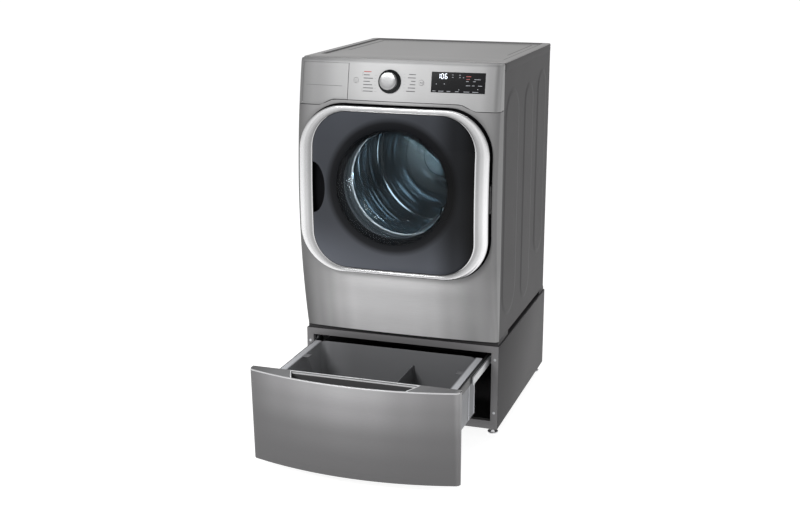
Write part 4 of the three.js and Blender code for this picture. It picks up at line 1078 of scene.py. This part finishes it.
def rear_wall():
    """Rear sheet with its service opening and a smaller opening above it, flat out to the side walls."""
    openings = ((-262, 262, 470, 1250), (-322, -198, 1262, 1318))
    xs = {-HALF + 1.6, HALF - 1.6, *steps(-250, 250, 10)}
    zs = {WALL_Z0, WALL_Z1, *steps(500, 1200, 8)}
    for x0, x1, z0, z1 in openings:
        xs |= {x0, x1}
        zs |= {z0, z1}
    xs, zs = sorted(xs), sorted(zs)
    rows = [[(x, CABINET_BACK - 2.2, z) for x in xs] for z in zs]

    def hole(i, j):
        return any(x0 <= xs[i] < x1 and z0 <= zs[j] < z1 for x0, x1, z0, z1 in openings)

    Build().sheet(rows, skip=hole).make(
        "rear_wall", "side", "cabinet", "cabinet_grey", ("cabinet_shell",), facing=(0, 1, 0),
        thickness=0.9, bevel=0.3)


def lid():
    top = MACHINE_Z1
    half = HALF + 1.5
    depth = (CABINET_BACK - LID_FRONT) / 2

    def loop(inset):
        rear = 16.0 - inset
        front = max(3.0 - inset, 1)
        middle = (0, LID_FRONT + depth)
        return rounded_loop(half - inset, depth - inset, (rear, rear, front, front), middle, 12, 8)

    def field(wide, front, back, r):
        return rounded_loop(wide, (back - front) / 2, r, (0, (front + back) / 2), 12, 8)

    def level(points, z):
        return [(x, y, z) for x, y in points]

    def skirt(points, low_z):
        return [(x, y, LID_LIP_Z if y < LID_FRONT + 1.2 else low_z) for x, y in points]

    skirt_rows = [skirt(loop(3.0), top - 29), skirt(loop(0.3), top - 30), skirt(loop(0), top - 28.5)]
    edge = [level(loop(LID_EDGE_R * (1 - math.cos(a))), top - LID_EDGE_R * (1 - math.sin(a)))
            for a in quarter(5)]
    brim = field(342, 120, 763, 10)
    rows = [*edge[1:], level(between(loop(6), brim, 0.5), top), level(brim, top)]
    step = len(rows) - 1
    rows += [level(field(*shape), top - drop) for *shape, drop in LID_FIELDS]
    starts = {step: 121, step + 1: 125, step + 4: 310, step + 5: 310}

    def on_step(i, j):
        return j in starts and min(rows[j][i][1], rows[j][(i + 1) % len(brim)][1]) > starts[j]

    # The step round the dish takes the darker lid steel: painted shade.
    loft(rows, lambda i, j: not on_step(i, j)).make(
        "lid_step", "lid_step_shade", "cabinet", "panel_silver", ("lid",), facing=UP)
    loft(skirt_rows + edge[:2]).make("lid_skirt", "side", "cabinet", "panel_silver", ("lid",))
    loft(rows, on_step).cap(rows[-1]).make(
        "lid_skin", "lid", "cabinet", "panel_silver", ("lid",), facing=UP, sharp=28)


# ---- pedestal ----
def pedestal():
    refined("pedestal_shell", "side", "cabinet", "cabinet_grey", 0.4)
    refined("pedestal_front_frame", "frame", "cabinet", "cabinet_grey", 0.35)
    refined("pedestal_deck", "side", "cabinet", "cabinet_grey", 0.4)
    for end in ("front", "rear"):
        for side in ("left", "right"):
            foot(f"pedestal_foot_{end}_{side}")


def foot(node):
    low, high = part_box(node)
    x = (low.x + high.x) / 2 / MM
    y = (low.y + high.y) / 2 / MM + ORIGIN_Y
    top = high.z / MM
    profile = [(0.4, 0), (19, 0), (20.5, 1.6), (20.5, 5.4), (19.2, 7.4), (12, 9.6), (7, 10.6), (6, 11.4)]
    for step in range(9):
        z = 12 + step * 1.4
        profile += [(6, z), (5.3, z + 0.7)]
    profile += [(6, 24.6), (10.4, 25), (11, 25.8), (11, top), (0.4, top)]
    upright = turned(profile, 0, 0, 40).moved(lambda a, b, c: (x + a, y + c, b))
    upright.make(node + "_levelled", "chrome", "cabinet", "plated_steel", (node,), sharp=40)


def frame_fastenings():
    """Screws in the pedestal's front columns."""
    for side in (-1, 1):
        for z in (98, 302):
            head = ((5.0, 0.4), (5.0, -0.15), (4.4, -0.45), (2.4, -0.5), (1.6, 0.1), (0.3, 0.1))
            turned([(r, PED_FRONT - 0.2 + y) for r, y in head], side * 358, z, 24).make(
                f"frame_screw_{'left' if side < 0 else 'right'}_{z}", "zinc", "cabinet",
                "cabinet_grey")


# ---- drawer ----
POCKET_LIP = 4.4
POCKET_FLOOR = 292
POCKET_REAR = DRAWER_BACK - 10
POCKET_TRIM = 8


def pocket_half(y):
    """Half of the finger pocket's width: its ends slant in towards the front."""
    return mix(172, 226, (y + 600) / (POCKET_REAR + 600))


def drawer_top_point(u, v):
    """u: -1 to 1 across the pocket and out to the ends at -2 and 2. v: 0 at the front edge, 1 on
    the pocket's front lip, 2 on its rear edge, 3 at the back."""
    y = DRAWER_APEX + 20
    for _ in range(8):
        edge = pocket_half(y)
        if abs(u) <= 1:
            x = u * edge
        else:
            x = math.copysign(mix(edge, DRAWER_HALF, abs(u) - 1), u)
        x = max(min(x, DRAWER_HALF), -DRAWER_HALF)
        front = drawer_y(x, DRAWER_Z1, 3.0)
        lip = drawer_y(x, DRAWER_Z1, POCKET_LIP)
        marks_y = (front, lip, max(POCKET_REAR, lip), max(DRAWER_BACK, front))
        low = int(min(v, 2))
        y = mix(marks_y[low], marks_y[low + 1], v - low)
    return x, y


def drawer_face():
    """The bowed front with its flat top, the edge between them, painted lighter as a highlight, and the
    finger pocket.
    """
    arcs = [DRAWER_HALF - DRAWER_CORNER + DRAWER_CORNER * math.sin(a) for a in quarter(6)]
    xs = sorted(steps(-350, 350, 40) + arcs + [-x for x in arcs])

    def row(z, inset=0.0):
        return [(x, drawer_y(x, z, inset), z) for x in xs]

    rows = [row(DRAWER_Z0 + rise, inset) for rise, inset in ((0, 3), (0, 1.2), (0.7, 0.3), (2, 0))]
    rows += [row(z) for z in steps(60, 340, 5)]
    edge_rows = [row(DRAWER_Z1 - drop, inset)
                 for drop, inset in ((4, 0), (2.0, 0.1), (0.8, 0.6), (0.25, 1.4))]
    edge_rows.append([(x, drawer_y(x, DRAWER_Z1, 3.0), DRAWER_Z1 - 0.05) for x in xs])
    Build().sheet(edge_rows).make(
        "drawer_top_edge", "edge", "pedestal_drawer", "panel_silver", ("drawer_front",),
        facing=(0, -1, 1), sharp=60)
    rows.append(edge_rows[0])
    built = Build().sheet(rows)
    for edge in (0, -1):
        front = [points[edge] for points in rows]
        built.sheet([front, [(x, DRAWER_BACK, z) for x, _, z in front]])
    right = [*steps(1.1, 1.8, 5), 1.9, 1.97, 2]
    across = [-u for u in right[::-1]] + steps(-1, 1, 30) + right
    flat = [[(*drawer_top_point(u, v), DRAWER_Z1) for u in across] for v in (0, 1, 1.5, 2, 3)]
    first, last = across.index(-1), across.index(1)
    built.sheet(flat, skip=lambda i, j: j in (1, 2) and first <= i < last)
    pocket([points[first:last + 1] for points in flat[1:4]])
    built.sheet([[(x, DRAWER_BACK, z) for x in steps(-DRAWER_HALF, DRAWER_HALF, 10)]
                 for z in (DRAWER_Z0, 200, DRAWER_Z1)])
    built.make(
        "drawer_skin", "drawer_steel", "pedestal_drawer", "panel_silver", ("drawer_front",),
        sharp=32)


def pocket(rows):
    """The pocket's walls and floor, in a darker steel that paints the shade inside the pocket. Its rear
    and ends have a bright band along the top.
    """
    front, middle, rear = rows

    def sunk(points, z):
        return [(x, y, z) for x, y, _ in points]

    ring = front + [middle[-1]] + rear[::-1] + [middle[0]]
    walls = [ring] + [sunk(ring, z) for z in (DRAWER_Z1 - POCKET_TRIM, DRAWER_Z1 - 20, POCKET_FLOOR)]

    def on_trim(i, j):
        return j == 0 and i >= len(front) - 1

    loft(walls, lambda i, j: not on_trim(i, j)).make(
        "pocket_trim", "trim", "pedestal_drawer", "bright_trim", ("drawer_handle_trim",),
        facing=(0, -1, 1))
    loft(walls, on_trim).sheet([sunk(row, POCKET_FLOOR) for row in rows]).make(
        "drawer_pocket", "pocket", "pedestal_drawer", "panel_silver", ("drawer_front",), facing=UP)


def drawer_parts():
    refined("drawer_handle_trim", "trim", "pedestal_drawer", "bright_trim", 0.5)
    for node in ("drawer_bin", "drawer_divider"):
        refined(node, "bin", "pedestal_drawer", "bin_plastic", 0.7)
    for side in ("left", "right"):
        refined(f"drawer_slide_{side}", "slide", "pedestal_drawer", "slide_black", 0.8)
        refined(f"drawer_rail_mid_{side}", "zinc", "mid_rails", "plated_steel", 0.8)
        refined(f"drawer_rail_{side}", "zinc", "cabinet", "plated_steel", 0.5)


# ---- the rest of the machine ----
def inner_parts():
    """Working parts inside, seen when the door or a drawer is open, or from behind."""
    for row in (
        ("rear_cover", "cover", "cabinet", "plated_steel", 0.0, 12),
        ("base_pan", "zinc", "cabinet", "plated_steel", 0.5),
        ("control_board", "board", "cabinet", "circuit_board", 0.4),
        ("inlet_valve", "ivory", "cabinet", "ivory_plastic", 0.8),
        ("drain_pump", "ivory", "cabinet", "ivory_plastic", 0.8),
        ("door_lock", "black", "cabinet", "black_plastic", 0.6),
        ("door_hinge_bracket", "black", "cabinet", "plated_steel", 0.4),
        ("dispenser_housing", "ivory", "cabinet", "ivory_plastic", 0.6),
        ("dispenser_tray", "ivory", "dispenser", "ivory_plastic", 0.5),
        ("door_hinge_arm", "black", "door", "plated_steel", 0.4),
        ("door_latch_hook", "zinc", "door", "plated_steel", 0.4),
        ("counterweight", "iron", "tub", "cast_weight", 2.0),
        ("drum_spider", "drum", "drum", "drum_steel", 1.5),
    ):
        refined(*row)


def flexible_parts():
    """The hose and the springs that run between the cabinet and the floating tub, as copies of the CAD
    parts.
    """
    for node, look, slot, rest_z, tub_z in (
        ("sump_hose", "rubber", "rubber_grey", 520, 598),
        ("suspension_spring_left", "zinc", "plated_steel", 1300, 1190),
        ("suspension_spring_right", "zinc", "plated_steel", 1300, 1190),
    ):
        low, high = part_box(node)
        x, y = (low.x + high.x) / 2, (low.y + high.y) / 2
        refined(node, look, ("cabinet", "tub", (x, y, rest_z * MM), (x, y, tub_z * MM)), slot, 0.0)


def drum_lifters():
    for index in (1, 2, 3):
        refined(f"drum_lifter_{index}", "stainless", "drum", "ivory_plastic", 4.0, 50)


def dressed_parts():
    """Plain parts that are shown as the CAD has them."""
    for node, look in {
        "tub_front": "tub", "tub_rear": "tub", "bearing_cartridge": "zinc", "motor_stator": "copper",
        "motor_rotor": "zinc", "damper_body_left": "ivory", "damper_body_right": "ivory",
        "damper_rod_left": "zinc", "damper_rod_right": "zinc",
    }.items():
        dress(node, look)


# ---- stage ----
FLOOR_REACH = 60.0


def white_floor():
    ground = bpy.data.meshes.new("floor")
    corners = [(x * FLOOR_REACH, y * FLOOR_REACH, 0) for x, y in ((-1, -1), (1, -1), (1, 1), (-1, 1))]
    ground.from_pydata(corners, [], [(0, 1, 2, 3)])
    ground.materials.append(matt("floor_white", (0.40, 0.40, 0.40), 0.8, 3, 0.01,
                                 **glow((1, 1, 1, 1), 0.9)))
    placed("floor", ground)


def sky():
    """White all round, and stronger low down than overhead."""
    world = bpy.data.worlds.new("studio")
    graph = Graph(world)
    heights = {"From Min": -0.05, "From Max": 0.55, "To Min": 0.85, "To Max": 0.32}
    strength = graph.add("MapRange", {"Value": graph.along("Z", "Generated"), **heights}, "Result",
                         interpolation_type="SMOOTHSTEP")
    graph.feed("Background", "Strength", strength)
    graph.feed("Background", "Color", (1, 1, 1, 1))
    bpy.context.scene.world = world


def lamps():
    """Each lamp's place, what it points at, its size, power and colour."""
    for name, place, aim, size, power, tint in (
        ("key", (-1.5, -4.4, 3.5), (0, 0, 0.7), 1.6, 135, (1, 1, 1)),
        ("top", (0.2, 1.2, 4.2), (0, 0, 0.9), 2.4, 45, (1, 1, 1)),
        ("drum_lamp", (0.10, -0.035, 1.06), (-0.16, 0.22, 0.72), 0.22, 4.2, (0.80, 0.93, 1.0)),
        ("drum_side", (0.15, 0.24, 0.84), (-0.25, 0.10, 1.02), 0.10, 1.1, (0.80, 0.93, 1.0)),
    ):
        lamp = bpy.data.lights.new(name, "AREA")
        lamp.shape = "DISK"
        lamp.size = size
        lamp.energy = power
        lamp.color = tint
        way = Vector(aim) - Vector(place)
        placed(name, lamp, place, way.to_track_quat("-Z", "Y").to_euler())


def camera():
    lens = bpy.data.cameras.new("camera")
    lens.lens = 56.7
    lens.sensor_width = 36
    lens.clip_end = 200
    turn = (math.radians(90 - 15.39), 0, math.radians(18.44))
    bpy.context.scene.camera = placed("camera", lens, (1.389, -4.276, 1.835), turn)
    bpy.context.scene.view_settings.view_transform = "Standard"


# ---- assembly ----
front_skin()
door_recess()
seam_backing()
lid_joint()
latch_slot()
fascia_skin()
dispenser_skin()
display_pane()
display_marks()
fascia_prints()
dial()
push_button(POWER_X, "power", "power_button")
push_button(START_X, "start", "start_button")
button_marks()
door_ring()
door_side()
door_backing()
door_pane()
grip_cup()
window_bowl()
drum()
gasket()
for wall_side in (-1, 1):
    side_wall(wall_side)
rear_wall()
lid()
pedestal()
frame_fastenings()
drawer_face()
drawer_parts()
inner_parts()
flexible_parts()
drum_lifters()
dressed_parts()
white_floor()
sky()
lamps()
camera()
